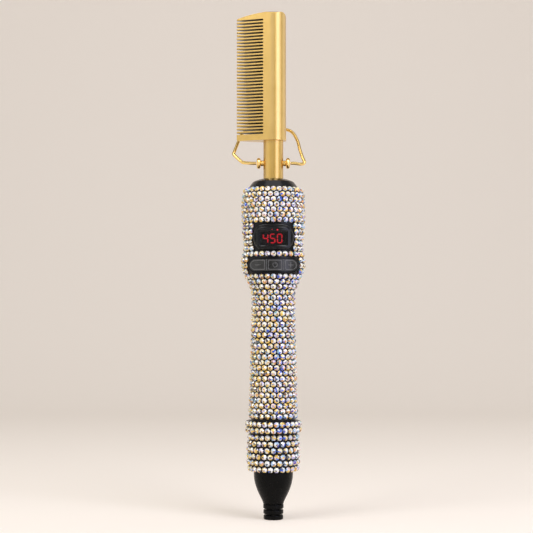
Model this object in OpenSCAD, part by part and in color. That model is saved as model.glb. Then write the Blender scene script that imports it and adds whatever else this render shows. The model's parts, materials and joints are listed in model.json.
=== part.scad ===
// Electric hot comb: a gold comb head on a heated neck, a clamshell handle set all over with
// flat-backed crystals, a three-key pad and a display, a wire rest and a swivelling cord boot.
// Millimetres. Z runs up the handle, the display faces -Y and the teeth point to -X.
// The origin is the centre of the cord boot's lower face.

/* [Comb head] */
// Length of the comb head along the handle's axis
comb_len = 79.1; // [74:0.1:84]
// Distance from the axis to the tips of the teeth
comb_reach = 22.6; // [20:0.05:25]
// Radius of the barrel that forms the comb's back
barrel_r = 7.9; // [7.6:0.1:8.6]
// Thickness of the comb at the tips of the teeth
tip_t = 1.5; // [1:0.1:2.4]
// Distance between neighbouring teeth
tooth_pitch = 2.0; // [1.8:0.1:2.6]
// Width of a slot where it ends at the barrel
slot_root_w = 0.9; // [0.6:0.05:1]
// Width of a slot at the tips of the teeth
slot_tip_w = 0.95; // [0.8:0.05:1.3]
// Distance from the axis to the closed end of the slots
slot_root = 6.2; // [5.9:0.05:8]
// Solid end of the comb below the first slot
comb_foot = 4.2; // [2.6:0.1:6]
// Fall of the comb's top edge from the axis to the tips of the teeth
crown_fall = 3.5; // [2:0.1:5]
// Radius of the comb's upper outer corner
comb_corner_r = 2.7; // [1.5:0.1:4]
// Rounding of the barrel's top edge
comb_edge_r = 1.6; // [0.5:0.1:2.5]

/* [Neck and wire rest] */
// Length of bare neck between the nose cap and the comb
neck_len = 23.4; // [20:0.1:30]
// Outer radius of the neck tube
neck_r = 6.15; // [5.8:0.05:6.4]
// Radius of the spigot that the comb is pressed on
spigot_r = 5.0; // [4.6:0.05:5.1]
// Radius of the bore through the neck tube
neck_bore_r = 4.2; // [3.9:0.05:4.2]
// Height of the wire rest's pivot above the nose cap
pivot_rise = 9.6; // [8:0.1:12]
// Radius of the studs' round flanges
stud_r = 3.45; // [3:0.05:4]
// Distance from the axis to the outer face of a stud
stud_reach = 10.3; // [10:0.05:12]
// Radius of the wire
wire_r = 1.0; // [0.8:0.05:1.2]
// Reach of the wire rest's elbow on the teeth's side
rest_left_w = 24.5; // [21:0.1:26]
// Reach of the wire rest's elbow on the barrel's side
rest_right_w = 19.2; // [17:0.1:24]
// Height of the wire rest above its pivot
rest_height = 23.8; // [18:0.1:26]
// Distance that the wire rest stands behind the axis at its top
rest_depth = 13.6; // [13:0.1:16]

/* [Handle] */
// Length of the tapered grip
grip_len = 74.3; // [60:0.1:90]
// Radius of the grip where it meets the retaining ring
grip_low_r = 13.8; // [13.6:0.1:15]
// Radius of the grip at its slimmest
grip_top_r = 12.05; // [11.8:0.05:13]
// Length of the flare from the grip to the crest over the keys
flare_len = 21.5; // [19:0.1:26]
// Radius of the crest over the keys
crest_r = 18.6; // [18:0.1:19.5]
// Length of the head from the crest to the shoulder's rim
head_len = 45.3; // [44:0.1:52]
// Radius of the waist between the keys and the display
waist_r = 17.0; // [16.8:0.1:18]
// Radius of the head around and above the display
head_r = 18.2; // [17.6:0.1:19]
// Radius of the rim where the shoulder meets the nose cap
rim_r = 15.6; // [15:0.1:16.5]
// Wall thickness of the handle's shells
wall = 2.0; // [1.6:0.1:2.2]
// Length of the retaining ring
ring_len = 7.8; // [7.6:0.1:10]
// Radius of the shells' spigot inside the retaining ring
core_r = 13.6; // [13.2:0.1:13.6]
// Wall of the retaining ring
ring_wall = 2.15; // [1.8:0.05:2.6]
// Length of the end cap
cap_len = 22.3; // [21.5:0.1:25]
// Radius of the end cap at its widest
cap_r = 15.0; // [14.8:0.1:16]
// Fall of the end cap's side from its middle to its ends
cap_crown = 0.9; // [0.3:0.1:1.2]

/* [Display and keys] */
// Width of the display's bezel
bezel_w = 24.8; // [23.6:0.1:25.2]
// Height of the display's bezel
bezel_h = 15.9; // [15:0.1:16]
// Width of the bezel's window
window_w = 15.2; // [14.6:0.1:16.4]
// Height of the bezel's window
window_h = 8.1; // [7.8:0.1:8.6]
// Height of a lit digit
digit_h = 5.9; // [5:0.1:6.2]
// Width of a lit digit
digit_w = 3.4; // [3:0.1:3.6]
// Width of the row of keys
pad_w = 29.2; // [28.6:0.1:29.6]
// Height of the keys
pad_h = 7.2; // [6.8:0.1:7.4]
// Distance that a key travels
key_travel = 0.7; // [0.4:0.05:0.8]
// Gap between two keys
key_gap = 0.6; // [0.5:0.05:0.9]

/* [Crystals] */
// Diameter of a crystal
crystal_d = 3.4; // [3.2:0.05:3.6]
// Height of a crystal
crystal_h = 1.5; // [1.2:0.05:1.6]
// Width of a crystal's flat top, its table
table_d = 2.0; // [1.4:0.1:2.4]
// Gap between neighbouring crystals in a row
crystal_gap = 0.18; // [0.15:0.01:0.5]
// Extra distance between the staggered rows on the grip and round the keys
row_gap = 0.16; // [0.1:0.01:0.5]

/* [Cord boot] */
// Length of the cord boot below the end cap
boot_len = 29.1; // [26:0.1:36]
// Radius of the boot where it meets the end cap
boot_r = 12.0; // [11:0.1:12.4]
// Radius of the boot above its ribs
boot_neck_r = 6.5; // [6.2:0.1:7.2]
// Radius of the ribs
rib_r = 6.0; // [5.6:0.1:6.2]
// Radius of the bore that holds the cord
cord_r = 3.0; // [2.4:0.1:3.2]

/* [Hidden] */

fine = 48;       // a number of sides that means a true circle
tiny = 0.05;     // clearance of pieces that are pressed or glued together
slip = 0.05;     // radial clearance of pieces that turn in each other
play = 0.3;      // clearance of pieces that only lie side by side

ring_r = core_r + tiny + ring_wall;

// heights of the joints between the pieces, from the origin up
swivel_gap = 0.4;
cap_z = boot_len + swivel_gap;
cap_top_z = cap_z + cap_len;
ring_groove = 0.8;
ring_z = cap_top_z + ring_groove;
grip_groove = 0.85;
grip_z = ring_z + ring_len + grip_groove;
flare_z = grip_z + grip_len;
crest_z = flare_z + flare_len;
rim_z = crest_z + head_len;
nose_len = 6.0;
nose_z = rim_z + nose_len;
pivot_z = nose_z + pivot_rise;
comb_z = nose_z + neck_len;
top_z = comb_z + comb_len;

// the display and the keys, on the head
display_z = crest_z + 14.75;
pad_z = crest_z - 2.5;
pad_reach = crest_r + 0.8;      // radius of the keys' faces
far = 30;                       // a distance that is well outside the handle
bezel_r = 26;                   // radius of the bezel's face, flatter than the head
bezel_y = -(head_r + 0.4);      // its foremost line
frame_rise = 0.4;               // height of the frame round the window, above the bezel's face
window_z = display_z - 1.3;
lens_t = 1.3;
lens_y = bezel_y + 1.7;
board_y = -8.2;                 // front face of the circuit board
board_t = 1.6;
board_w = 19.4;
board_below = 8.7;              // distance that the board runs on below the keys' middle
board_above = 14.05;            // and above the display's middle
board_low_z = pad_z - board_below;
board_top_z = display_z + board_above;
key_back_r = 13.9;              // radius of the keys' inner faces
flange_t = 0.8;                 // thickness and height of the flange that holds a key in
pad_floor_y = -9.5;
key_splits = [-pad_w / 2, -4.2, 6.1, pad_w / 2];
key_x = [-6.8, 1.0, 7.7];       // where the keys press their switches
switch_w = 4.0;
switch_h = 1.4;
plunger_h = 0.5;
plunger_r = 1.1;

// crystals
crystal_r = crystal_d / 2;
crystal_pitch = crystal_d + crystal_gap;
tight_step = crystal_pitch * sin(60);
row_step = tight_step + row_gap;
head_step = 3.1;                // between the rows above the display
ring_step = crystal_d + 0.3;    // between the two rows on the ring
girdle_h = 0.5;
glue = 0.05;
near = 0.04;                    // smallest gap between crystals of rows that aren't staggered
side_gap = 0.14;                // least gap between the crystals of a row beside the display

// ---------------------------------------------------------------- profiles

// A number that goes smoothly from a to b as t goes from 0 to 1
function ease(a, b, t) = a + (b - a) * (1 - cos(180 * t)) / 2;

// The handle's radius at height z: a straight taper, a flare to the crest, a waist, then the head
// with an elliptical shoulder
shoulder_z = rim_z - 10.4;
waist_z = crest_z + 8.5;
full_z = crest_z + 24.5;
function handle_r(z) =
  z < flare_z - 8 ? grip_low_r + (grip_top_r - grip_low_r) * (z - grip_z) / (grip_len - 8)
  : z < flare_z ? grip_top_r
  : z < crest_z ? ease(grip_top_r, crest_r, (z - flare_z) / flare_len)
  : z < waist_z ? ease(crest_r, waist_r, (z - crest_z) / (waist_z - crest_z))
  : z < full_z ? ease(waist_r, head_r, (z - waist_z) / (full_z - waist_z))
  : z < shoulder_z ? head_r
  : head_r - (head_r - rim_r) * (1 - sqrt(max(0, 1 - pow((z - shoulder_z) / (rim_z - shoulder_z), 2))));

// The same profile as a table of [z, r], with its stations closest where it curves most
function stations(from, to, n) = [for (i = [0 : n - 1]) from + (to - from) * i / n];
handle_zs = concat(
  [grip_z, flare_z - 8], stations(flare_z, crest_z, 9), stations(crest_z, waist_z, 4),
  stations(waist_z, full_z, 5), stations(full_z, shoulder_z, 1),
  [for (t = [0, 0.35, 0.6, 0.8, 0.93, 1]) shoulder_z + (rim_z - shoulder_z) * t]);
handle_table = [for (z = handle_zs) [z, handle_r(z)]];

// The end cap's side bows out by cap_crown, and its lower edge is rounded
cap_edge = 1.4;
cap_mid_z = cap_z + cap_len / 2;
function cap_side_r(z) = cap_r - cap_crown * pow((z - cap_mid_z) / (cap_len / 2), 2);
cap_table = [for (i = [0 : 8]) let (z = cap_z + cap_len * i / 8) [z, cap_side_r(z)]];
ring_table = [[ring_z, ring_r], [ring_z + ring_len, ring_r]];

// Turn a table of [z, r] into [r, z] points, moved in by a wall
function points(table, inset = 0) = [for (p = table) [p[1] - inset, p[0]]];

// Points of an arc about c, from angle a to angle b
function arc(c, r, a, b, n = 6) = [for (i = [0 : n]) let (t = a + (b - a) * i / n)
  c + r * [cos(t), sin(t)]];

module revolve(pts) rotate_extrude($fn = fine) polygon(pts);

// A cylinder that lies along Y from y0 to y1
module rod_y(x, z, r, y0, y1) translate([x, y1, z]) rotate([90, 0, 0])
  cylinder(r = r, h = y1 - y0, $fn = fine);

// A flat outline in X and Z, made solid from y0 to y1
module plate_y(y0, y1) translate([0, y1, 0]) rotate([90, 0, 0]) linear_extrude(y1 - y0) children();

// A flat outline in Y and Z, made solid from x0 to x1
module plate_x(x0, x1) translate([x0, 0, 0]) rotate([90, 0, 90]) linear_extrude(x1 - x0) children();

// ---------------------------------------------------------------- comb head

flank_sink = 0.01;              // depth of the flanks' corners inside the barrel and the tips
comb_end_r = 1.1;               // rounding of the comb's corners at the tips of the teeth
comb_top_band = 1.0;            // least height of metal above the last slot, at the tips
slot_z0 = comb_z + comb_foot;
slot_count = floor((comb_len - comb_foot - crown_fall - comb_top_band) / tooth_pitch) + 1;

// The section is a teardrop: the barrel, two flat flanks that blend into it, and the thin tips
module comb_section() {
  tip_r = tip_t / 2;
  tip_x = -(comb_reach - tip_r);
  lean = asin((barrel_r - tip_r) / -tip_x);
  tangent = [-sin(lean), cos(lean)];
  circle(r = barrel_r, $fn = fine);
  translate([tip_x, 0]) circle(r = tip_r, $fn = fine);
  inner = [for (r = [barrel_r, tip_r]) r - flank_sink];
  polygon([
    inner[0] * tangent, [tip_x, 0] + inner[1] * tangent,
    [tip_x, 0] + inner[1] * [tangent[0], -tangent[1]], inner[0] * [tangent[0], -tangent[1]]]);
}

// Seen from the front: the top edge is one long arc that falls towards the teeth
module comb_outline() {
  top_r = (comb_reach * comb_reach + crown_fall * crown_fall) / (2 * crown_fall);
  end_x = comb_reach + 0.1 - comb_end_r;
  end_rise = sqrt(pow(top_r - comb_end_r, 2) - end_x * end_x);
  turn = 90 + asin(end_x / (top_r - comb_end_r));
  polygon(concat(
    arc([-end_x, top_z - top_r + end_rise], comb_end_r, 180, turn, 4),
    arc([0, top_z - top_r], top_r, turn, 90, 10),
    arc([barrel_r - comb_corner_r, top_z - comb_corner_r], comb_corner_r, 90, 0),
    [[barrel_r, comb_z]], arc([-end_x, comb_z + comb_end_r], comb_end_r, 270, 180, 4)));
}

// Seen from the side: the barrel's top edge is rounded
module comb_side() {
  edge = comb_edge_r;
  polygon(concat(
    arc([barrel_r - edge, top_z - edge], edge, 0, 90),
    arc([edge - barrel_r, top_z - edge], edge, 90, 180),
    [[-barrel_r - tiny, top_z - edge], [-barrel_r - tiny, comb_z], [barrel_r + tiny, comb_z],
     [barrel_r + tiny, top_z - edge]]));
}

// A slot widens from its round end to the tips
module comb_slot() {
  end_r = slot_root_w / 2;
  translate([-slot_root - end_r, 0]) circle(r = end_r, $fn = fine);
  polygon([
    [-slot_root - end_r, -end_r], [-slot_root - end_r, end_r],
    [-comb_reach - 1, slot_tip_w / 2], [-comb_reach - 1, -slot_tip_w / 2]]);
}

module comb_head() color("#dcb872") difference() {
  intersection() {
    translate([0, 0, comb_z]) linear_extrude(comb_len) comb_section();
    plate_y(-barrel_r - 1, barrel_r + 1) comb_outline();
    plate_x(-comb_reach - 1, barrel_r + 1) comb_side();
  }
  for (i = [0 : slot_count - 1]) plate_y(-barrel_r, barrel_r)
    translate([0, slot_z0 + i * tooth_pitch]) comb_slot();
  translate([0, 0, comb_z - 1]) cylinder(r = spigot_r + tiny, h = comb_len - 12, $fn = fine);
}

// ---------------------------------------------------------------- neck and heater

tube_z = rim_z - 16;            // lower end of the neck tube
spigot_top_z = comb_z + comb_len - 14;
core_r_heat = neck_bore_r - 0.8;
core_z = comb_z + 6;
core_len = spigot_top_z - core_z - 2;

module neck_tube() color("#dcb872") difference() {
  revolve([
    [neck_bore_r, tube_z], [neck_r, tube_z], [neck_r, comb_z], [spigot_r, comb_z],
    [spigot_r, spigot_top_z], [0, spigot_top_z], [0, spigot_top_z - 1], [neck_bore_r, spigot_top_z - 1]]);
  for (side = [0, 180]) translate([0, 0, pivot_z]) rotate([0, 90, side])
    cylinder(r = stud_shank_r + tiny, h = neck_r + 1, $fn = fine);
}

module heater_core() color("white") translate([0, 0, core_z])
  cylinder(r = core_r_heat, h = core_len, $fn = fine);

module heater_sleeve() color("#d8cfbe") translate([0, 0, core_z]) difference() {
  cylinder(r = neck_bore_r - tiny, h = core_len, $fn = fine);
  translate([0, 0, -1]) cylinder(r = core_r_heat + tiny, h = core_len + 2, $fn = fine);
}

// A lead of straight runs; its bends are balls a little larger than the lead
module lead(path, r) {
  for (i = [0 : len(path) - 2]) let (run = path[i + 1] - path[i], long = norm(run))
    translate(path[i]) rotate([0, acos(run[2] / long), atan2(run[1], run[0])])
      cylinder(r = r, h = long, $fn = fine);
  if (len(path) > 2) for (i = [1 : len(path) - 2]) translate(path[i]) sphere(r = r + 0.03, $fn = fine);
}

lead_r = 0.6;
lead_x = 2.4;
back_of_board = board_y + board_t + lead_r + tiny;
module heater_leads() color("#c9443a") for (x = [-lead_x, lead_x])
  lead([[x, 0, core_z - tiny], [x, 0, tube_z - 1], [x, back_of_board, board_top_z - 4],
    [x, back_of_board, board_top_z - 9]], lead_r);

bushing_len = 8;
fuse_len = 11;
collar_len = 3.9;
collar_wall = 2.4;
module thermal_fuse() color("#e8e2d0") translate([0, 0, rim_z - bushing_len])
  cylinder(r = lead_x - lead_r - tiny, h = fuse_len, $fn = fine);

nose_wall = 2.1;
nose_bore_r = rim_r - wall - tiny - nose_wall;
bushing_r = nose_bore_r - tiny;
module neck_bushing() color("#cfc7b4") translate([0, 0, rim_z - bushing_len]) difference() {
  cylinder(r = bushing_r, h = bushing_len, $fn = fine);
  translate([0, 0, -1]) cylinder(r = neck_r + tiny, h = bushing_len + 2, $fn = fine);
}

module neck_collar() color("silver") translate([0, 0, rim_z - bushing_len - collar_len - 0.1]) difference() {
  cylinder(r = neck_r + collar_wall, h = collar_len, $fn = fine);
  translate([0, 0, -1]) cylinder(r = neck_r + tiny, h = collar_len + 2, $fn = fine);
}

// ---------------------------------------------------------------- wire rest

stud_shank_r = 1.5;
stud_ball_r = 1.8;
journal_r = wire_r - 0.1;       // radius of the wire's ends, which turn in the studs
stud_flange_t = 2.5;
stud_bore_x = stud_reach - 3;

// A turned stud: a shank in the neck's wall and a round-edged flange, drilled for the wire's end
module stud() {
  half_t = stud_flange_t / 2;
  mid_x = stud_reach - half_t;
  rotate([0, 90, 0]) difference() {
    rotate_extrude($fn = fine) polygon(concat(
      [[0, neck_bore_r + 0.4], [stud_shank_r, neck_bore_r + 0.4], [stud_shank_r, neck_r + tiny]],
      arc([0, (neck_r + mid_x - half_t) / 2], stud_ball_r, -24, 24, 4),
      [[stud_shank_r, mid_x - half_t]],
      arc([stud_r - half_t, mid_x], half_t, -90, 90), [[0, stud_reach]]));
    translate([0, 0, stud_bore_x]) cylinder(r = journal_r + slip, h = 5, $fn = fine);
  }
}

module stud_left() color("#dcb872") translate([0, 0, pivot_z]) mirror([1, 0, 0]) stud();
module stud_right() color("#dcb872") translate([0, 0, pivot_z]) stud();

// The two halves of the wire rest, from the elbow to the top, as fractions of reach, depth and height
rest_left = [[0.77, 0.02, 0.04], [0.93, 0.12, 0.14], [1, 0.27, 0.28], [0.97, 0.42, 0.41],
  [0.88, 0.64, 0.63], [0.82, 0.82, 0.80], [0.73, 0.91, 0.89], [0.52, 0.97, 0.96]];
rest_right = [[0.90, 0, -0.02], [1, 0.03, 0.03], [0.94, 0.18, 0.17], [0.86, 0.40, 0.39],
  [0.79, 0.64, 0.63], [0.64, 0.87, 0.86], [0.42, 0.97, 0.96]];
wire_straight = 3.0;            // straight part of the wire beside each stud
function rest_half(curve, reach) = [for (f = curve) [f[0] * reach, f[1] * rest_depth, f[2] * rest_height]];
function flip(list) = [for (i = [len(list) - 1 : -1 : 0]) list[i]];
rest_points = concat(
  [[-stud_reach - play, 0, 0], [-stud_reach - wire_straight, 0, 0]], rest_half(rest_left, -rest_left_w),
  [[0, rest_depth, rest_height]], flip(rest_half(rest_right, rest_right_w)),
  [[stud_reach + wire_straight, 0, 0], [stud_reach + play, 0, 0]]);

// A smooth curve through points: each span is a Catmull-Rom cubic
function span_point(a, b, c, d, t) = 0.5 * (2 * b + (c - a) * t
  + (2 * a - 5 * b + 4 * c - d) * t * t + (3 * b - a - 3 * c + d) * t * t * t);
function smooth(p, n) = let (last = len(p) - 1) concat(
  [for (i = [0 : last - 1], k = [0 : n - 1])
    span_point(p[max(i - 1, 0)], p[i], p[i + 1], p[min(i + 2, last)], k / n)],
  [p[last]]);

// A round tube swept along a path: every ring stands square to the path and none is twisted
function unit(v) = v / norm(v);
function carried(side, along) = unit(side - (side * along) * along);
function sides(alongs, i, side) = i >= len(alongs) ? []
  : let (s = carried(side, alongs[i])) concat([s], sides(alongs, i + 1, s));
module swept_tube(path, r, n) {
  last = len(path) - 1;
  alongs = [for (i = [0 : last]) unit(path[min(i + 1, last)] - path[max(i - 1, 0)])];
  across = sides(alongs, 0, [0, 1, 0]);
  polyhedron(
    points = [for (i = [0 : last], k = [0 : n - 1]) let (a = 360 * k / n)
      path[i] + r * (cos(a) * across[i] + sin(a) * cross(alongs[i], across[i]))],
    faces = concat(
      [[for (k = [0 : n - 1]) k]],
      [for (i = [0 : last - 1], k = [0 : n - 1]) let (m = (k + 1) % n)
        [i * n + k, i * n + n + k, i * n + n + m, i * n + m]],
      [[for (k = [n - 1 : -1 : 0]) last * n + k]]));
}

module stand_wire() color("#cfa75a") translate([0, 0, pivot_z]) {
  swept_tube(smooth(rest_points, 3), wire_r, 12);
  for (side = [0, 180]) rotate([0, 90, side]) translate([0, 0, stud_bore_x + play])
    cylinder(r = journal_r, h = stud_reach + 0.6 - stud_bore_x, $fn = fine);
}

// ---------------------------------------------------------------- handle

// The nose cap is the end of an ellipsoid, and its spigot holds the shells' rims together
module nose_cap() color("#1b1b1d") {
  rise = nose_len / sqrt(1 - pow(neck_r / rim_r, 2));
  outer = [for (i = [0 : 7]) let (r = rim_r + (neck_r + 0.1 - rim_r) * pow(i / 7, 0.6))
    [r, rim_z + rise * sqrt(max(0, 1 - pow(r / rim_r, 2)))]];
  foot_z = rim_z - bushing_len - 0.2;
  revolve(concat(
    outer, [[neck_r + 0.1, rim_z + nose_len * 0.53], [nose_bore_r, rim_z + nose_len * 0.27],
    [nose_bore_r, foot_z], [nose_bore_r + nose_wall, foot_z], [nose_bore_r + nose_wall, rim_z]]));
}

screw_z = [for (t = [0.16, 0.5, 0.84]) grip_z + grip_len * t];
boss_r = 2.7;
screw_r = 1.2;
screw_head_r = 2.3;
screw_seat = 1.6;               // depth of a screw head's lower face in the back shell
screw_bite = 6.0;               // length of the screws in the front shell's bosses

// Both shells: the turned wall with its spigot, cut in half where the two halves meet
module shell_half(front) difference() {
  union() {
    intersection() {
      revolve(concat(
        [[core_r - wall, cap_top_z + 0.1], [core_r, cap_top_z + 0.1], [core_r, grip_z]],
        points(handle_table),
        flip(points(handle_table, wall)), [[core_r - wall, grip_z - 1]]));
      translate([-far, front ? -far : 0, 0]) cube([2 * far, far, rim_z + 1]);
    }
    for (z = screw_z) rod_y(0, z, boss_r, front ? 1 - handle_r(z) : 0, front ? 0 : handle_r(z) - 1);
  }
  for (z = screw_z) {
    rod_y(0, z, front ? screw_r + tiny : screw_r + 0.2, -screw_bite - 1, far);
    if (!front) rod_y(0, z, screw_head_r + 0.1, handle_r(z) - screw_seat - 0.1, far);
  }
}

// The bezel's outline: a flat foot, bulging sides, and a top that is a long shallow arch
bezel_foot_r = 1.8;
bezel_side_r = 9;
bezel_top_r = 2.8;
bezel_arch = 0.7;               // rise of the arch between the upper corners
module bezel_outline(grow = 0) {
  half_w = bezel_w / 2 + grow;
  half_h = bezel_h / 2 + grow;
  foot = [half_w - 4.2, display_z - half_h + bezel_foot_r];
  side = [half_w - bezel_side_r, display_z - 0.5];
  top = [half_w - 4.4, display_z + half_h - bezel_top_r - bezel_arch];
  arch = [for (i = [1 : 7]) let (t = 1 - i / 4) [top[0] * t, display_z + half_h - bezel_arch * t * t]];
  right = concat(
    arc(foot, bezel_foot_r, -90, -35, 3), arc(side, bezel_side_r, -28, 24, 6),
    arc(top, bezel_top_r, 18, 84, 4));
  polygon(concat(right, arch, flip([for (p = right) [-p[0], p[1]]])));
}

module window_outline(grow = 0) translate([0, window_z])
  square([window_w + 2 * grow, window_h + 2 * grow], center = true);

// The row of keys has half-round ends
module pad_outline(grow = 0) {
  r = pad_h / 2 + grow;
  long = pad_w - pad_h;
  translate([0, pad_z]) {
    square([long, 2 * r], center = true);
    for (x = [-long / 2, long / 2]) translate([x, 0]) circle(r = r, $fn = fine);
  }
}

frame_gap = 0.3;
frame_t = 0.6;
boss_top = [7.2, board_top_z - 2.6];
boss_low = [4.5, board_low_z + 2];
board_bosses = [for (side = [-1, 1], p = [boss_top, boss_low]) [side * p[0], p[1]]];
board_boss_r = 1.6;
board_head_r = 1.5;
board_bite = 3.5;               // length of the board's screws in their bosses
board_screw_r = 0.8;

module front_shell() color("#1b1b1d") difference() {
  union() {
    difference() {
      shell_half(true);
      plate_y(-far, board_y) bezel_outline(tiny);
      plate_y(-far, pad_floor_y) pad_outline(frame_gap + frame_t + tiny);
    }
    for (p = board_bosses)
      rod_y(p[0], p[1], board_boss_r, -sqrt(pow(handle_r(p[1]) - 1, 2) - p[0] * p[0]), board_y);
  }
  for (p = board_bosses) rod_y(p[0], p[1], board_screw_r, board_y - board_bite - 0.5, board_y + 1);
}

module back_shell() color("#1b1b1d") shell_half(false);

module shell_screws() color("silver") for (z = screw_z) {
  rod_y(0, z, screw_r, -screw_bite, handle_r(z) - 1);
  rod_y(0, z, screw_head_r, handle_r(z) - screw_seat, handle_r(z) - 0.2);
}

ring_edge = 0.8;                // rounding of the ring's edges
module retaining_ring() color("#1b1b1d") revolve(concat(
  [[core_r + tiny, ring_z]], arc([ring_r - ring_edge, ring_z + ring_edge], ring_edge, -90, 0, 3),
  arc([ring_r - ring_edge, ring_z + ring_len - ring_edge], ring_edge, 0, 90, 3),
  [[core_r + tiny, ring_z + ring_len]]));

web_t = 3;
swivel_r = 6.0;
cap_bore_r = 12.2;
cap_spigot_r = core_r - wall - tiny;
cap_spigot_len = 7.5;
cap_inner_r = cap_spigot_r - wall;
module end_cap() color("#1b1b1d") {
  step_low_z = cap_top_z - 7;
  revolve(concat(
    [[swivel_r + slip, cap_z], [boot_r + 0.3, cap_z],
     [cap_side_r(cap_z + cap_edge) - 0.3, cap_z + cap_edge * 0.45]],
    [for (p = cap_table) if (p[0] > cap_z + cap_edge) [p[1], p[0]]],
    [[cap_spigot_r, cap_top_z], [cap_spigot_r, cap_top_z + cap_spigot_len],
     [cap_inner_r, cap_top_z + cap_spigot_len], [cap_inner_r, step_low_z + 3], [cap_bore_r, step_low_z],
     [cap_bore_r, cap_z + web_t], [swivel_r + slip, cap_z + web_t]]));
}

// ---------------------------------------------------------------- display

// The space in front of a face that is round about a line parallel to Z
module round_face(r, front_y, low_z, high_z) translate([0, front_y + r, low_z])
  cylinder(r = r, h = high_z - low_z, $fn = fine);

// The bezel's face carries a raised frame round the window, and two holes for the dots above it
frame_border = [2.4, 1.5];      // width of the raised frame beside and above the window
bezel_back_y = -12.6;
dot_x = [-0.8, 2.4];
dot_z = window_z + window_h / 2 + 1.1;
dot_r = 0.45;
module frame_outline() translate([0, window_z])
  square([window_w, window_h] + 2 * frame_border, center = true);
module display_bezel() color("#141416") difference() {
  union() {
    intersection() {
      plate_y(-far, bezel_back_y) bezel_outline();
      round_face(bezel_r, bezel_y, display_z - bezel_h, display_z + bezel_h);
    }
    intersection() {
      plate_y(-far, bezel_y + 2) frame_outline();
      round_face(bezel_r + frame_rise, bezel_y - frame_rise, display_z - bezel_h, display_z + bezel_h);
    }
  }
  cylinder(r = waist_r - wall + 0.4, h = top_z, $fn = fine);
  plate_y(-far, 0) window_outline();
  for (x = dot_x) rod_y(x, dot_z, dot_r + tiny, -far, 0);
}

module display_lens() color("#0c0c10") plate_y(lens_y, lens_y + lens_t) window_outline(-tiny);

led_top_y = lens_y + lens_t + 0.4;
module led_module() color("#26262a") plate_y(led_top_y, board_y) window_outline(-0.5);

// A digit's seven bars, numbered from the top round to the left, with the middle bar last
bar_w = 0.75;
bar_gap = 0.15;
digit_pitch = digit_w + 0.85;
digits_x = -0.5;
digits_z = window_z + 0.1;
function bar_pose(i) = let (x = (digit_w - bar_w) / 2, h = (digit_h - bar_w) / 2) [
  [0, h, 0], [x, h / 2, 90], [x, -h / 2, 90], [0, -h, 0], [-x, -h / 2, 90], [-x, h / 2, 90], [0, 0, 0]][i];
bars_of = [[1, 2, 5, 6], [0, 2, 3, 5, 6], [0, 1, 2, 3, 4, 5]];   // four, five, nought
module bar(long) polygon([
  [-long / 2, 0], [(bar_w - long) / 2, bar_w / 2], [(long - bar_w) / 2, bar_w / 2],
  [long / 2, 0], [(long - bar_w) / 2, -bar_w / 2], [(bar_w - long) / 2, -bar_w / 2]]);

segment_t = 0.25;
module lit_segments() color("red") plate_y(led_top_y - segment_t, led_top_y)
  for (d = [0 : 2]) translate([digits_x + (d - 1) * digit_pitch, digits_z])
    for (i = bars_of[d]) let (p = bar_pose(i), upright = p[2] > 0)
      translate([p[0], p[1]]) rotate(p[2])
        bar((upright ? (digit_h - bar_w) / 2 : digit_w - bar_w) - bar_gap);

module indicator_leds() color("red") for (x = dot_x)
  rod_y(x, dot_z, dot_r, bezel_y - frame_rise + 0.1, board_y);

// ---------------------------------------------------------------- keys

module between_radii(low_r, high_r) difference() {
  translate([0, 0, pad_z - pad_h]) cylinder(r = high_r, h = 2 * pad_h, $fn = fine);
  translate([0, 0, pad_z - pad_h - 1]) cylinder(r = low_r, h = 2 * pad_h + 2, $fn = fine);
}

module keypad_frame() color("#141416") intersection() {
  plate_y(-far, pad_floor_y - tiny) difference() {
    pad_outline(frame_gap + frame_t);
    pad_outline(frame_gap);
  }
  between_radii(key_back_r + flange_t + 0.1, pad_reach - 0.5);
}

// A key's part of the pad, seen from the front
module key_outline(i, grow) intersection() {
  pad_outline(grow);
  translate([key_splits[i] + (i > 0 ? key_gap / 2 : -far), pad_z - far])
    square([key_splits[i + 1] - key_splits[i] + (i == 1 ? -key_gap : far - key_gap / 2), 2 * far]);
}

plunger_y = board_y - switch_h - plunger_h;
icon_w = 3.2;
icon_line = 0.55;
module key_icon(i) {
  if (i != 1) square([icon_w, icon_line], center = true);
  if (i == 2) square([icon_line, icon_w], center = true);
  if (i == 1) {
    difference() {
      circle(d = icon_w, $fn = fine);
      circle(d = icon_w - 2 * icon_line, $fn = fine);
      translate([-1.4 * icon_line, 0]) square([2.8 * icon_line, icon_w]);
    }
    translate([-icon_line / 2, 0.2]) square([icon_line, icon_w / 2]);
  }
}

// A key is a curved block with a flange above and below, and a stem that meets its switch
key_limit_y = pad_floor_y - 1;
key_stem_r = 0.9;
icon_depth = 0.25;
module key(i) {
  icon_x = (key_splits[i] + key_splits[i + 1]) / 2;
  stem_y = plunger_y - key_travel - tiny;
  difference() {
    union() {
      intersection() {
        plate_y(-far, key_limit_y) key_outline(i, 0);
        between_radii(key_back_r, pad_reach);
      }
      intersection() {
        plate_y(-far, key_limit_y) key_outline(i, flange_t);
        between_radii(key_back_r, key_back_r + flange_t);
      }
      rod_y(key_x[i], pad_z, key_stem_r, -key_back_r - 0.6, stem_y);
    }
    intersection() {
      plate_y(-far, key_limit_y) translate([icon_x, pad_z]) key_icon(i);
      between_radii(pad_reach - icon_depth, pad_reach + 1);
    }
  }
}

module key_minus() color("#333336") key(0);
module key_power() color("#333336") key(1);
module key_plus() color("#333336") key(2);

module key_switches() color("#4a4a4e") for (x = key_x) {
  translate([x - switch_w / 2, board_y - switch_h, pad_z - switch_w / 2])
    cube([switch_w, switch_h, switch_w]);
  rod_y(x, pad_z, plunger_r, plunger_y, board_y - switch_h + 0.1);
}

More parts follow.
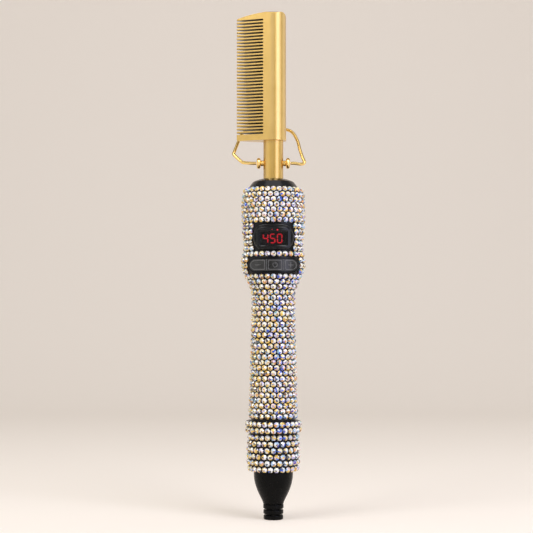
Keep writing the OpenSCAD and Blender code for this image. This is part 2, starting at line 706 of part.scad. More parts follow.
module circuit_board() color("#1f5a3a") difference() {
  translate([-board_w / 2, board_y, board_low_z]) cube([board_w, board_t, board_top_z - board_low_z]);
  for (p = board_bosses) rod_y(p[0], p[1], board_screw_r + 0.2, board_y - 1, board_y + board_t + 1);
}

module board_screws() color("silver") for (p = board_bosses) {
  rod_y(p[0], p[1], board_screw_r - tiny, board_y - board_bite, board_y + board_t + 0.1);
  rod_y(p[0], p[1], board_head_r, board_y + board_t, board_y + board_t + 1.1);
}

// ---------------------------------------------------------------- cord boot and swivel

holder_z = cap_z + web_t + 2.6;
holder_h = 6.4;
clip_z = cap_z + web_t + 0.1;
clip_t = 1.2;
swivel_top_r = 5.0;

// The leads leave the board between its lower screws, pass the shells' bosses side by side, and spread
// inside the end cap's spigot to stand on the contact holder
lead_room = 0.4;
joint_len = 8;                  // length of a supply lead that lies on the board
bend_len = 4;                   // height between a lead's bends and what it passes
board_x = 2.2;
boss_x = boss_r + lead_r + lead_room;
holder_x = sqrt(pow(cap_inner_r - lead_r - lead_room, 2) - back_of_board * back_of_board);
supply_path = [
  [board_x, board_low_z + joint_len], [board_x, board_low_z - bend_len],
  [boss_x, screw_z[2] + boss_r + bend_len / 2], [boss_x, cap_top_z + cap_spigot_len],
  [holder_x, cap_top_z], [holder_x, holder_z + holder_h + tiny]];
module supply_leads() color("#d8d8d8") for (side = [-1, 1])
  lead([for (p = supply_path) [side * p[0], back_of_board, p[1]]], lead_r);

// The contacts lie in pockets of the holder and reach in to the slip rings, one on each side
contact_z = [0.5, 3.5];         // height of the two contacts and of their rings in the holder
contact_h = 2.0;
slip_ring_r = swivel_top_r + 1.3;
holder_bore_r = slip_ring_r + 0.9;
pocket_x = 10;                  // outer end of a pocket
module contact_at(side, gap) let (inner_x = gap > 0 ? slip_ring_r + 2 * gap : holder_bore_r - 0.2,
    x0 = side < 0 ? gap - pocket_x : inner_x, z = contact_z[side < 0 ? 0 : 1])
  translate([x0, gap - contact_h / 2, holder_z + z + gap])
    cube([pocket_x - gap - inner_x, contact_h - 2 * gap, contact_h - 2 * gap]);

module contact_holder() color("#3a3a3e") difference() {
  translate([0, 0, holder_z]) cylinder(r = cap_bore_r - tiny, h = holder_h, $fn = fine);
  translate([0, 0, holder_z - 1]) cylinder(r = holder_bore_r, h = holder_h + 2, $fn = fine);
  for (side = [-1, 1]) contact_at(side, 0);
}

module brush_contacts() color("#c9a04a") for (side = [-1, 1]) contact_at(side, tiny);

module slip_rings() color("#c9a04a") for (z = contact_z) translate([0, 0, holder_z + z]) difference() {
  cylinder(r = slip_ring_r, h = contact_h, $fn = fine);
  translate([0, 0, -1]) cylinder(r = swivel_top_r + tiny, h = contact_h + 2, $fn = fine);
}

module swivel_clip() color("silver") translate([0, 0, clip_z]) difference() {
  cylinder(r = swivel_r + 2.5, h = clip_t, $fn = fine);
  translate([0, 0, -1]) cylinder(r = swivel_r - 1 + tiny, h = clip_t + 2, $fn = fine);
}

rib_h = 2.7;
rib_step = 3.3;
rib_edge = 0.6;                 // rounding of the ribs' edges
rib_growth = 0.12;              // how much larger each rib is than the one below
rib_core_r = 4.4;
spine_w = 2.2;                  // the bar that joins the ribs at the front and at the back
spine_drop = 0.4;

// The boot's side is an S from the end cap down to the neck above the ribs
boot_foot_z = 2 * rib_step + rib_h + 0.3;
boot_side = [for (i = [0 : 9]) let (t = i / 9)
  [boot_neck_r + (boot_r - boot_neck_r) * pow(sin(90 * pow(t, 0.86)), 1.25),
   boot_foot_z + 1 + (boot_len - boot_foot_z - 2.5) * t]];

module cord_boot() color("#161618") difference() {
  union() {
    revolve(concat(
      [[0, 0], [rib_core_r, 0], [rib_core_r, boot_foot_z], [boot_neck_r - 0.2, boot_foot_z]],
      boot_side,
      [[boot_r, boot_len], [swivel_r, boot_len], [swivel_r, clip_z - tiny], [swivel_r - 1, clip_z - tiny],
       [swivel_r - 1, clip_z + clip_t + tiny], [swivel_r, clip_z + clip_t + tiny],
       [swivel_r, clip_z + 2.2], [swivel_top_r, clip_z + 2.2],
       [swivel_top_r, holder_z + holder_h], [0, holder_z + holder_h]]));
    for (i = [0 : 2]) let (z = i * rib_step, x = rib_r - rib_edge + rib_growth * i) revolve(concat(
      [[0, z]], arc([x, z + rib_edge], rib_edge, -90, 0, 3),
      arc([x, z + rib_h - rib_edge], rib_edge, 0, 90, 3), [[0, z + rib_h]]));
    translate([-spine_w / 2, spine_drop - rib_r, 0.3]) cube([spine_w, 2 * (rib_r - spine_drop), boot_foot_z]);
  }
  translate([0, 0, -1]) cylinder(r = cord_r, h = holder_z + holder_h + 2, $fn = fine);
}

// ---------------------------------------------------------------- crystals

// A flat-backed crystal: a short girdle, then a crown up to the table
module crystal() rotate_extrude($fn = fine) polygon([
  [0, 0], [crystal_r, 0], [crystal_r, girdle_h], [table_d / 2, crystal_h], [0, crystal_h]]);

// How far the surface leans out of upright at z, and how far a flat back stands off its bulges
function slope(table, z) = (lookup(z + crystal_r, table) - lookup(z - crystal_r, table)) / crystal_d;
function stand_off(table, z) = let (s = slope(table, z), r = lookup(z, table))
  max([for (k = [-4 : 4]) let (e = k * crystal_r / 4) lookup(z + e, table) - r - e * s]);

// Is the middle of a crystal far enough from the display and the keys? x and z are its place seen
// from the front, and a is its angle from the front
function outside(x, z, a, half_w, half_h, mid_z, corner) = let (
    dx = max(0, (abs(x) - half_w) / max(cos(a), 0.2) + corner), dz = max(0, abs(z - mid_z) - half_h + corner))
  norm([dx, dz]) - corner > crystal_r + near;
frame_out = frame_gap + frame_t;
function is_clear(x, z, a) = outside(x, z, a, bezel_w / 2, bezel_h / 2, display_z, 4.5)
  && outside(x, z, a, pad_w / 2 + frame_out, pad_h / 2 + frame_out, pad_z, 3.7);

// The least angle from the front at which a row's crystals are clear of the display and the keys
side_angles = [0 : 0.25 : 90];
function free_from(r, z) = [for (a = side_angles) if (is_clear(r * sin(a), z, a)) a][0];

// A ring of count crystals on a turned surface. It starts at the front, and phase is 0 or 0.5. Where
// the display or the keys are in the way, the crystals go round from one of their sides to the other
module crystal_row(table, z, count, phase) {
  lean = atan(slope(table, z));
  r = lookup(z, table) + glue / cos(lean) + stand_off(table, z);
  first = free_from(r, z);
  spans = floor((360 - 2 * first) / 360 * 2 * PI * lookup(z, table) / (crystal_d + side_gap));
  turns = first > 0 ? [for (i = [0 : spans]) first + i * (360 - 2 * first) / spans]
    : [for (i = [0 : count - 1]) (i + phase) * 360 / count];
  for (turn = turns) rotate(turn - 90) translate([r, 0, z]) rotate([0, 90 + lean, 0]) crystal();
}

// A row's count, and the rows of a zone: where the count changes, the next row is a whole crystal away
function row_count(z) = floor(2 * PI * lookup(z, handle_table) / crystal_pitch);
function next_row(z) = row_count(z) == row_count(z - row_step)
  ? z - row_step / sqrt(1 + pow(slope(handle_table, z - row_step / 2), 2)) : whole_step(z);
function rows_down(z, low) = z < low ? [] : concat([z], rows_down(next_row(z), low));

// The next row down when it isn't staggered: in a hollow the crystals lean together at their girdles
function whole_step(z) = let (
    low = z - crystal_d, turn = max(0, atan(slope(handle_table, z)) - atan(slope(handle_table, low))),
    rise = lookup(z, handle_table) - lookup(low, handle_table))
  z - (crystal_d + near + girdle_h * sin(turn)) / sqrt(1 + pow(rise / crystal_d, 2));
function rows_beside(z, n) = n == 0 ? [] : concat([z], rows_beside(whole_step(z), n - 1));

head_count = floor(2 * PI * waist_r / (crystal_d + 0.03));
head_rows_high = [for (i = [0 : 6]) rim_z - crystal_r - glue - i * head_step];
head_rows_low = rows_beside(whole_step(head_rows_high[6]), 9);
crest_row = 6;                  // the lower row that runs along the crest
grip_rows = rows_down(whole_step(head_rows_low[8]), grip_z + crystal_r + 0.1);
cap_first = 1.5;                // distance from the end cap's top to its first row, and from its last
cap_last = 1.7;                 // row to its foot
cap_rows = [for (i = [0 : 5]) cap_top_z - cap_first - i * (cap_len - cap_first - cap_last) / 5];

module head_row(i) {
  rows = concat(head_rows_high, head_rows_low);
  crystal_row(handle_table, rows[i], head_count, i % 2 / 2);
}

crest_index = len(head_rows_high) + crest_row;
last_head_row = len(head_rows_high) + len(head_rows_low) - 1;
module crystals_head_a() color("#e6e2dc") for (i = [0 : 2 : last_head_row])
  if (i != crest_index) head_row(i);
module crystals_head_b() color("#dcd8ea") for (i = [1 : 2 : last_head_row])
  if (i != crest_index) head_row(i);
module crystals_crest() color("#eadfd0") head_row(crest_index);

module grip_row(i) crystal_row(handle_table, grip_rows[i], row_count(grip_rows[i]), i % 2 / 2);
module crystals_grip_a() color("#e6e2dc") for (i = [0 : 2 : len(grip_rows) - 1]) grip_row(i);
module crystals_grip_b() color("#dcd8ea") for (i = [1 : 2 : len(grip_rows) - 1]) grip_row(i);

ring_count = floor(2 * PI * ring_r / (crystal_d + 0.1));
module crystals_ring() color("#e6e2dc") for (i = [0, 1])
  crystal_row(ring_table, ring_z + ring_len / 2 + (i - 0.5) * ring_step, ring_count, i / 2);

cap_count = floor(2 * PI * (cap_r - cap_crown) / (crystal_d + 0.03));
module cap_row(i) crystal_row(cap_table, cap_rows[i], cap_count, i % 2 / 2);
module crystals_cap_a() color("#e6e2dc") for (i = [0, 2, 4]) cap_row(i);
module crystals_cap_b() color("#dcd8ea") for (i = [1, 3, 5]) cap_row(i);

// ---------------------------------------------------------------- assembly

comb_head();
neck_tube();
heater_core();
heater_sleeve();
heater_leads();
thermal_fuse();
neck_bushing();
neck_collar();
stud_left();
stud_right();
stand_wire();
nose_cap();
front_shell();
back_shell();
shell_screws();
retaining_ring();
end_cap();
display_bezel();
display_lens();
led_module();
lit_segments();
indicator_leds();
keypad_frame();
key_minus();
key_power();
key_plus();
key_switches();
circuit_board();
board_screws();
supply_leads();
contact_holder();
brush_contacts();
cord_boot();
swivel_clip();
slip_rings();
crystals_head_a();
crystals_head_b();
crystals_crest();
crystals_grip_a();
crystals_grip_b();
crystals_ring();
crystals_cap_a();
crystals_cap_b();
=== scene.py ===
import json
import math

import bpy
import numpy as np
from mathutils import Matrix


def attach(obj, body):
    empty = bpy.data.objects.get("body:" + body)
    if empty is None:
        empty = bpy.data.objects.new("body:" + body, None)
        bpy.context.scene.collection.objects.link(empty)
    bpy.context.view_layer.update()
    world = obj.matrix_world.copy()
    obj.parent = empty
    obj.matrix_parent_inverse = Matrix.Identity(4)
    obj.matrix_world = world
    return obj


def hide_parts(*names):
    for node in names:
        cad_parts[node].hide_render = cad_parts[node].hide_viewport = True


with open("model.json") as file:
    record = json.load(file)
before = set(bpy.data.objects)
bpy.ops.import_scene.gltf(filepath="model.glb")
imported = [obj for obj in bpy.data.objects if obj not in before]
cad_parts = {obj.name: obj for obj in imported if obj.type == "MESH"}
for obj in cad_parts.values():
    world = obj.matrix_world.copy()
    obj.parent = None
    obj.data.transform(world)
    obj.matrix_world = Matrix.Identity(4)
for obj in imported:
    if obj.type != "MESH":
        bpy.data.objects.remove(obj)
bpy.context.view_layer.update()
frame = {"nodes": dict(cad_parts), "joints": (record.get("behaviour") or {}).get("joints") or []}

mm = 0.001
nodes = frame["nodes"]
pivotHeight = next(j["pos_m"][2] for j in frame["joints"] if j["name"] == "wire_rest_pivot")


grainSpan = (0.3, 0.7)     # between these the noise takes a finish from its first value to its second


# a material whose main shader has the given sockets set
def startMaterial(name, sockets):
    material = bpy.data.materials.new(name)
    material.use_nodes = True
    shader = material.node_tree.nodes["Principled BSDF"]
    for socket, value in sockets.items():
        shader.inputs[socket].default_value = (*value, 1) if isinstance(value, tuple) else value
    return material, material.node_tree, shader


# a new node with the given settings
def addNode(tree, kind, **settings):
    node = tree.nodes.new(kind)
    for key, value in settings.items():
        setattr(node, key, value)
    return node


# noise in Object coordinates: size is the grain in mm along X, Y and Z
def addGrain(tree, size, detail=3.0):
    place = addNode(tree, "ShaderNodeTexCoord")
    stretch = addNode(tree, "ShaderNodeMapping")
    stretch.inputs["Scale"].default_value = [1 / (s * mm) for s in size]
    noise = addNode(tree, "ShaderNodeTexNoise")
    noise.inputs["Scale"].default_value = 1.0
    noise.inputs["Detail"].default_value = detail
    tree.links.new(place.outputs["Object"], stretch.inputs["Vector"])
    tree.links.new(stretch.outputs["Vector"], noise.inputs["Vector"])
    return noise.outputs["Fac"]


# a number that runs from one value to another while a socket runs between two others
def mapRange(tree, value, fromLow, fromHigh, toLow=0.0, toHigh=1.0):
    scale = addNode(tree, "ShaderNodeMapRange")
    limits = {"From Min": fromLow, "From Max": fromHigh, "To Min": toLow, "To Max": toHigh}
    for socket, number in limits.items():
        scale.inputs[socket].default_value = number
    tree.links.new(value, scale.inputs["Value"])
    return scale.outputs["Result"]


# a number that runs from low to high with the grain
def spread(tree, grain, low, high):
    return mapRange(tree, grain, *grainSpan, low, high)


# a colour that runs from one to the other with the grain
def blendColors(tree, grain, first, second):
    blend = addNode(tree, "ShaderNodeValToRGB")
    for element, position, color in zip(blend.color_ramp.elements, grainSpan, (first, second)):
        element.position = position
        element.color = (*color, 1)
    tree.links.new(grain, blend.inputs["Fac"])
    return blend.outputs["Color"]


# one step of arithmetic on sockets or plain numbers
def compute(tree, operation, first, second=None):
    node = addNode(tree, "ShaderNodeMath", operation=operation)
    for socket, value in zip(node.inputs, (first, second)):
        if isinstance(value, (int, float)):
            socket.default_value = value
        elif value is not None:
            tree.links.new(value, socket)
    return node.outputs["Value"]


# the product of sockets or plain numbers
def multiply(tree, product, *others):
    for value in others:
        product = compute(tree, "MULTIPLY", product, value)
    return product


# the strength is a share of the full bump, the depth is in mm
def addBump(tree, shader, height, strength, depth):
    bump = addNode(tree, "ShaderNodeBump")
    bump.inputs["Strength"].default_value = strength
    bump.inputs["Distance"].default_value = depth * mm
    tree.links.new(height, bump.inputs["Height"])
    tree.links.new(bump.outputs["Normal"], shader.inputs["Normal"])


# the comb's anodised gold; the neck and the wire rest change some of its values
satinGold = {
    "first": (0.70, 0.435, 0.075),
    "second": (0.75, 0.475, 0.095),
    "roughness": (0.36, 0.42),
    "coat": 1.0,                   # clear layer over the anodising
    "coatIndex": 1.95,
    "coatRoughness": 0.24,
    "lines": (0.12, 0.12, 8.4),    # grain of the faint drawing lines, mm
    "cloud": (5, 5, 9),            # grain of the slow changes of tone, mm
    "blast": 0.09,                 # grain of the blasted surface, mm
    "bump": (0.25, 0.02),          # its strength and its depth, mm
}

neckGold = {**satinGold, "first": (0.62, 0.370, 0.040), "second": (0.66, 0.400, 0.055), "coatIndex": 1.9}

wireGold = {
    **satinGold,
    "first": (0.82, 0.55, 0.17),
    "second": (0.90, 0.64, 0.23),
    "roughness": (0.20, 0.27),
    "coat": 0.3,
    "coatIndex": 1.6,
    "lines": (0.12, 0.12, 6.0),
    "blast": 0.12,
}

# the comb's slots are left bare, with painted shade in them, along each tooth's lower edge and on the comb's
# underside: dark at the root, browner towards the tips; places are in mm, and an edge says how far from its
# place a change starts and ends
slotShade = {
    "root": -6.5,                  # X of the slots' roots
    "rootEdge": (-1.5, -1.0),      # where the roots' own faces begin to count
    "bodyEdge": (-0.4, 0.5),       # where the soot ends on the comb's body
    "tip": -22.6,                  # X of the tips
    "low": 234.5,                  # height below which the comb's own underside begins
    "lowEdge": (-0.5, 0),
    "firstSlot": 235.95,           # height of the lowest slot
    "firstEdge": (-0.8, -0.7),
    "lastEdge": (0.6, 0.9),
    "pitch": 2.0,
    "count": 36,
    "levelFaces": (0.6, 0.85),     # Z of the normal at which a face starts to count, and counts fully
    "rootFaces": (-0.6, -0.45),    # X of the normal between which a face stops to count
    "paintedToothShade": 0.85,                  # share of the painted shade beside a slot
    "toothShadeAbove": 0.12,             # how far that painted shade sits above a slot's middle
    "toothShadeEdge": (0.46, 0.72),      # distances from there between which it ends
    "atTip": 0.80,                 # share of the dark tone
    # share of the painted shade on the comb's underside
    "underside": 0.12,
    "tone": (0.009, 0.005, 0.002),
    "shine": 0.5,                  # specular level of the clean gold
}


# anodised gold: a blasted grain in bump, faint lines along Z in roughness, slow changes of tone
def makeGold(name, look):
    sockets = {"Metallic": 1.0, "Coat Weight": look["coat"], "Coat Roughness": look["coatRoughness"],
               "Coat IOR": look["coatIndex"]}
    material, tree, shader = startMaterial(name, sockets)
    lines = addGrain(tree, look["lines"], detail=4)
    cloud = addGrain(tree, look["cloud"], detail=2)
    grain = addGrain(tree, (look["blast"],) * 3, detail=2)
    tree.links.new(blendColors(tree, cloud, look["first"], look["second"]), shader.inputs["Base Color"])
    tree.links.new(spread(tree, lines, *look["roughness"]), shader.inputs["Roughness"])
    addBump(tree, shader, grain, *look["bump"])
    return material


# painted shade = max(level faces x depth along the slot x height, painted band beside a slot x depth, root
# faces): it takes the gold's colour, its metal and its coat away together
def shadeSlots(material, look):
    tree = material.node_tree
    shader = tree.nodes["Principled BSDF"]
    place = addNode(tree, "ShaderNodeTexCoord")
    spot, facing = addNode(tree, "ShaderNodeSeparateXYZ"), addNode(tree, "ShaderNodeSeparateXYZ")
    tree.links.new(place.outputs["Object"], spot.inputs["Vector"])
    tree.links.new(place.outputs["Normal"], facing.inputs["Vector"])
    x, z = spot.outputs["X"], spot.outputs["Z"]
    around = lambda socket, middle, edge, before=0.0, after=1.0: mapRange(
        tree, socket, (middle + edge[0]) * mm, (middle + edge[1]) * mm, before, after)
    lastSlot = look["firstSlot"] + (look["count"] - 1) * look["pitch"]
    below = around(z, lastSlot, look["lastEdge"], 1.0, 0.0)
    above = around(z, look["firstSlot"], look["firstEdge"])
    depth = mapRange(tree, x, look["tip"] * mm, look["root"] * mm, look["atTip"])

    level = mapRange(tree, compute(tree, "ABSOLUTE", facing.outputs["Z"]), *look["levelFaces"])
    height = around(z, look["low"], look["lowEdge"], look["underside"])
    walls = multiply(tree, level, depth, height, below)

    start = (look["firstSlot"] + look["toothShadeAbove"] - look["pitch"] / 2) * mm
    turns = compute(tree, "DIVIDE", compute(tree, "SUBTRACT", z, start), look["pitch"] * mm)
    offset = compute(tree, "ABSOLUTE", compute(tree, "SUBTRACT", compute(tree, "FRACT", turns), 0.5))
    near, clear = (distance / look["pitch"] for distance in look["toothShadeEdge"])
    band = mapRange(tree, offset, near, clear, look["paintedToothShade"], 0.0)
    beside = around(x, look["root"], look["bodyEdge"], 1.0, 0.0)
    paintedToothShade = multiply(tree, band, beside, above, below, depth)

    sideways = mapRange(tree, facing.outputs["X"], *look["rootFaces"], 1.0, 0.0)
    roots = multiply(tree, sideways, around(x, look["root"], look["rootEdge"]))

    shade = compute(tree, "MAXIMUM", compute(tree, "MAXIMUM", walls, paintedToothShade), roots)
    plain = compute(tree, "SUBTRACT", 1.0, shade)
    tone = addNode(tree, "ShaderNodeMix", data_type="RGBA")
    tree.links.new(shade, tone.inputs["Factor"])
    tree.links.new(shader.inputs["Base Color"].links[0].from_socket, tone.inputs["A"])
    tone.inputs["B"].default_value = (*look["tone"], 1)
    tree.links.new(tone.outputs["Result"], shader.inputs["Base Color"])
    tree.links.new(plain, shader.inputs["Metallic"])
    tree.links.new(multiply(tree, plain, look["shine"]), shader.inputs["Specular IOR Level"])
    tree.links.new(multiply(tree, plain, shader.inputs["Coat Weight"].default_value),
                   shader.inputs["Coat Weight"])


# moulded plastic or rubber: a fine grain in bump, slow changes of tone and roughness
def makeMoulded(name, first, second, roughness, grainSize=0.16, bump=0.3, depth=0.02, coat=0.0, shine=0.5):
    sockets = {"Coat Weight": coat, "Coat Roughness": 0.12, "Specular IOR Level": shine}
    material, tree, shader = startMaterial(name, sockets)
    cloud = addGrain(tree, (3.5, 3.5, 5), detail=3)
    grain = addGrain(tree, (grainSize,) * 3, detail=2)
    tree.links.new(blendColors(tree, cloud, first, second), shader.inputs["Base Color"])
    tree.links.new(spread(tree, cloud, *roughness), shader.inputs["Roughness"])
    addBump(tree, shader, grain, bump, depth)
    return material


# plated or brushed small metal parts
def makeMetal(name, first, second, roughness):
    material, tree, shader = startMaterial(name, {"Metallic": 1.0})
    streaks = addGrain(tree, (0.1, 0.1, 0.8), detail=3)
    tree.links.new(blendColors(tree, streaks, first, second), shader.inputs["Base Color"])
    tree.links.new(spread(tree, streaks, *roughness), shader.inputs["Roughness"])
    return material


# a lit element of the display: a slightly uneven red glow
def makeGlow(name, first, second, strength):
    material, tree, shader = startMaterial(name, {"Roughness": 0.4, "Emission Strength": strength})
    glow = blendColors(tree, addGrain(tree, (0.9, 0.9, 0.9), detail=1), first, second)
    tree.links.new(glow, shader.inputs["Base Color"])
    tree.links.new(glow, shader.inputs["Emission Color"])
    return material


# the glow's strength steps from one value to another near a place along X; place and edge are in mm
def dimByPlace(material, place, before, after, edge=0.1):
    tree = material.node_tree
    where, spot = addNode(tree, "ShaderNodeTexCoord"), addNode(tree, "ShaderNodeSeparateXYZ")
    tree.links.new(where.outputs["Object"], spot.inputs["Vector"])
    strength = mapRange(tree, spot.outputs["X"], (place - edge) * mm, (place + edge) * mm, before, after)
    tree.links.new(strength, tree.nodes["Principled BSDF"].inputs["Emission Strength"])


# the smoked window: clear dark plastic with faint handling marks in its gloss
def makeWindow(name):
    sockets = {"Transmission Weight": 1.0, "IOR": 1.46, "Base Color": (0.55, 0.50, 0.52),
               "Specular IOR Level": 0.25}
    material, tree, shader = startMaterial(name, sockets)
    marks = addGrain(tree, (2.5, 2.5, 2.5), detail=4)
    tree.links.new(spread(tree, marks, 0.02, 0.05), shader.inputs["Roughness"])
    return material


# a cut crystal on its foil: every facet has its own colour, kept in the mesh, with painted highlights,
# reflections and shade among the coating's tints
def makeCrystal(name):
    sockets = {"Metallic": 0.25, "Roughness": 0.14, "Specular IOR Level": 0.7, "IOR": 1.6,
               "Coat Weight": 0.6, "Coat Roughness": 0.05, "Coat IOR": 1.6}
    material, tree, shader = startMaterial(name, sockets)
    facet = addNode(tree, "ShaderNodeAttribute", attribute_name="facetColor")
    grain = addGrain(tree, (0.5, 0.5, 0.5), detail=2)
    haze = addNode(tree, "ShaderNodeMix", data_type="RGBA", blend_type="MULTIPLY")
    haze.inputs["Factor"].default_value = 0.15
    tree.links.new(facet.outputs["Color"], haze.inputs["A"])
    tree.links.new(blendColors(tree, grain, (0.75, 0.75, 0.78), (1, 1, 1)), haze.inputs["B"])
    tree.links.new(haze.outputs["Result"], shader.inputs["Base Color"])
    return material


tubeGold = makeGold("tubeGold", neckGold)
combGold = makeGold("combGold", satinGold)
shadeSlots(combGold, slotShade)
goldWire = makeGold("goldWire", wireGold)
blackPlastic = makeMoulded(
    "blackPlastic", (0.002, 0.002, 0.003), (0.004, 0.004, 0.005), (0.20, 0.28), shine=0.22)
capPlastic = makeMoulded(
    "capPlastic", (0.002, 0.002, 0.0025), (0.005, 0.005, 0.0055), (0.15, 0.22), bump=0.2)
bezelPlastic = makeMoulded(
    "bezelPlastic", (0.002, 0.002, 0.0025), (0.004, 0.004, 0.0045), (0.18, 0.26), bump=0.12, shine=0.30)
displayBlack = makeMoulded(
    "displayBlack", (0.006, 0.005, 0.006), (0.010, 0.008, 0.009), (0.5, 0.6), shine=0.2)
keyRubber = makeMoulded(
    "keyRubber", (0.004, 0.004, 0.004), (0.034, 0.034, 0.033), (0.26, 0.40),
    grainSize=0.35, bump=0.7, depth=0.06)
# lighter rubber for the key pad's raised lines and ribs: a painted highlight along them
paintedHighlightRubber = makeMoulded(
    "paintedHighlightRubber", (0.07, 0.07, 0.07), (0.13, 0.13, 0.128), (0.25, 0.34), grainSize=0.2, bump=0.4, shine=0.8)
bootRubber = makeMoulded(
    "bootRubber", (0.0015, 0.0015, 0.0015), (0.003, 0.0029, 0.0028), (0.22, 0.32),
    grainSize=0.22, shine=0.10)
paleCeramic = makeMoulded("paleCeramic", (0.80, 0.78, 0.74), (0.88, 0.86, 0.82), (0.6, 0.75))
fillerResin = makeMoulded("fillerResin", (0.62, 0.58, 0.50), (0.70, 0.66, 0.58), (0.55, 0.7))
redSilicone = makeMoulded("redSilicone", (0.50, 0.05, 0.04), (0.62, 0.08, 0.06), (0.45, 0.55))
whiteSilicone = makeMoulded("whiteSilicone", (0.70, 0.70, 0.68), (0.80, 0.80, 0.78), (0.45, 0.55))
darkPart = makeMoulded("darkPart", (0.030, 0.030, 0.033), (0.05, 0.05, 0.055), (0.4, 0.5))
boardGreen = makeMoulded("boardGreen", (0.02, 0.12, 0.06), (0.04, 0.18, 0.09), (0.25, 0.35), coat=0.4)
steel = makeMetal("steel", (0.45, 0.45, 0.47), (0.60, 0.60, 0.62), (0.22, 0.34))
brass = makeMetal("brass", (0.66, 0.45, 0.16), (0.76, 0.55, 0.24), (0.22, 0.34))
litRed = makeGlow("litRed", (0.80, 0.004, 0.022), (0.62, 0.003, 0.016), 1.0)
dotRed = makeGlow("dotRed", (0.70, 0.006, 0.025), (0.55, 0.005, 0.02), 0.8)
dimByPlace(dotRed, 0.8, before=0.30, after=0.55)
smokedWindow = makeWindow("smokedWindow")
crystalGlass = makeCrystal("crystalGlass")

finishOf = {
    "comb_head": combGold, "neck_tube": tubeGold, "stud_left": goldWire, "stud_right": goldWire,
    "nose_cap": capPlastic, "front_shell": blackPlastic, "back_shell": blackPlastic,
    "retaining_ring": blackPlastic, "end_cap": blackPlastic, "keypad_frame": blackPlastic,
    "display_bezel": bezelPlastic, "display_lens": smokedWindow, "led_module": displayBlack,
    "lit_segments": litRed, "indicator_leds": dotRed,
    "key_minus": keyRubber, "key_power": keyRubber, "key_plus": keyRubber,
    "key_switches": darkPart, "circuit_board": boardGreen, "board_screws": steel,
    "shell_screws": steel, "supply_leads": whiteSilicone, "contact_holder": darkPart,
    "brush_contacts": brass, "slip_rings": brass, "swivel_clip": steel, "cord_boot": bootRubber,
    "heater_core": paleCeramic, "heater_sleeve": fillerResin, "heater_leads": redSilicone,
    "thermal_fuse": paleCeramic, "neck_bushing": fillerResin, "neck_collar": steel,
    "stand_wire": goldWire,
}
for name, node in nodes.items():
    node.data.materials.clear()
    node.data.materials.append(finishOf.get(name, crystalGlass))
print("finishes:", len(bpy.data.materials))


# a mesh from points (n, 3) in metres and faces, a list of corner lists
def makePiece(name, points, faces, material, smooth=True):
    mesh = bpy.data.meshes.new(name)
    mesh.from_pydata(np.asarray(points, float).tolist(), [], faces)
    mesh.polygons.foreach_set("use_smooth", np.full(len(mesh.polygons), smooth))
    mesh.materials.append(material)
    piece = bpy.data.objects.new(name, mesh)
    bpy.context.scene.collection.objects.link(piece)
    return piece


# the quads of a grid of rows by columns, joined from its last column to its first when closed is True
def gridFaces(rows, columns, closed=False):
    r, c = np.meshgrid(np.arange(rows - 1), np.arange(columns if closed else columns - 1), indexing="ij")
    right = (c + 1) % columns
    low, high = r * columns, (r + 1) * columns
    return np.stack([low + c, low + right, high + right, high + c], -1).reshape(-1, 4).tolist()


# a number that runs from 0 at one place to 1 at another
def ramp(values, start, end):
    return np.clip((values - start) / (end - start), 0, 1)


# the corner points of a CAD node's triangles, (triangles, 3, 3)
def trianglesOf(name):
    mesh = nodes[name].data
    points = np.empty(len(mesh.vertices) * 3)
    mesh.vertices.foreach_get("co", points)
    corners = np.empty(len(mesh.polygons) * 3, int)
    mesh.polygons.foreach_get("vertices", corners)
    return points.reshape(-1, 3)[corners.reshape(-1, 3)]


# a cut crystal's shape, in mm
crystalCut = {
    "sides": 8,
    "girdleRadius": 1.77,
    "girdleHeight": 0.42,
    "midRadius": 1.36,
    "midHeight": 1.06,
    "tableRadius": 0.74,
    "tableHeight": 1.50,
}

crystalLook = {
    "seed": 7,
    "sectors": 5,
    "sectorStart": 14,         # degrees
    "strays": 0.20,            # share of facets that draw for themselves
    "turnShift": 0.5,          # how far the painted pattern of reflections moves on a crystal that is turned away, in its radius
    "deepPlace": (-0.14, -0.10),    # middle of the deep patch, a painted dark reflection, in the crystal's radius
    "deepSpread": 0.20,        # how far that middle strays, and the patch's own radius
    "deepRadius": (0.26, 0.46),
    "brightness": (0.88, 1.0),
    "lastRow": 1.0,            # height within which crystals count as a node's lowest row, mm
    "lastRowDrop": 6.48,       # how far the added row is below that one, mm
    "lastRowOut": 0.12,
}

# what a facet may show: the coating's tints, and white, dark and coloured tints for painted highlights,
# reflections and shade
coatingAndPaintedLight = {
    "white": (1.0, 1.0, 0.98), "cream": (1.0, 0.91, 0.58), "gold": (0.95, 0.62, 0.11),
    "amber": (0.86, 0.38, 0.09), "pink": (0.92, 0.66, 0.63), "lilac": (0.60, 0.54, 0.88),
    "sky": (0.42, 0.62, 0.90), "blue": (0.02, 0.11, 0.68), "violet": (0.14, 0.07, 0.40),
    "brown": (0.22, 0.11, 0.04), "smoke": (0.10, 0.11, 0.14), "teal": (0.20, 0.50, 0.55),
}
# painted highlights and reflections: white gathers towards the upper right, where the lamps stand, gold at
# the bottom
# where a tint gathers on the crown: direction seen from outside (0 is right, 90 is up), weight, closeness
crownTints = [
    ("white", 48, 4.0, 2.2), ("white", 180, 0.7, 2.0), ("cream", 5, 0.8, 2.0), ("cream", 110, 0.9, 3.0),
    ("gold", -95, 2.0, 3.0), ("gold", 100, 0.5, 4.0), ("amber", -65, 0.8, 4.0), ("pink", -140, 0.6, 3.0),
    ("lilac", -150, 0.7, 3.0), ("sky", 150, 0.4, 3.0), ("sky", -110, 0.4, 4.0), ("smoke", -160, 0.5, 3.0),
    ("teal", 170, 0.1, 3.0),
]
crownBase = {
    "white": 0.26, "cream": 0.28, "gold": 0.12, "pink": 0.08, "lilac": 0.09, "sky": 0.09, "smoke": 0.06,
}
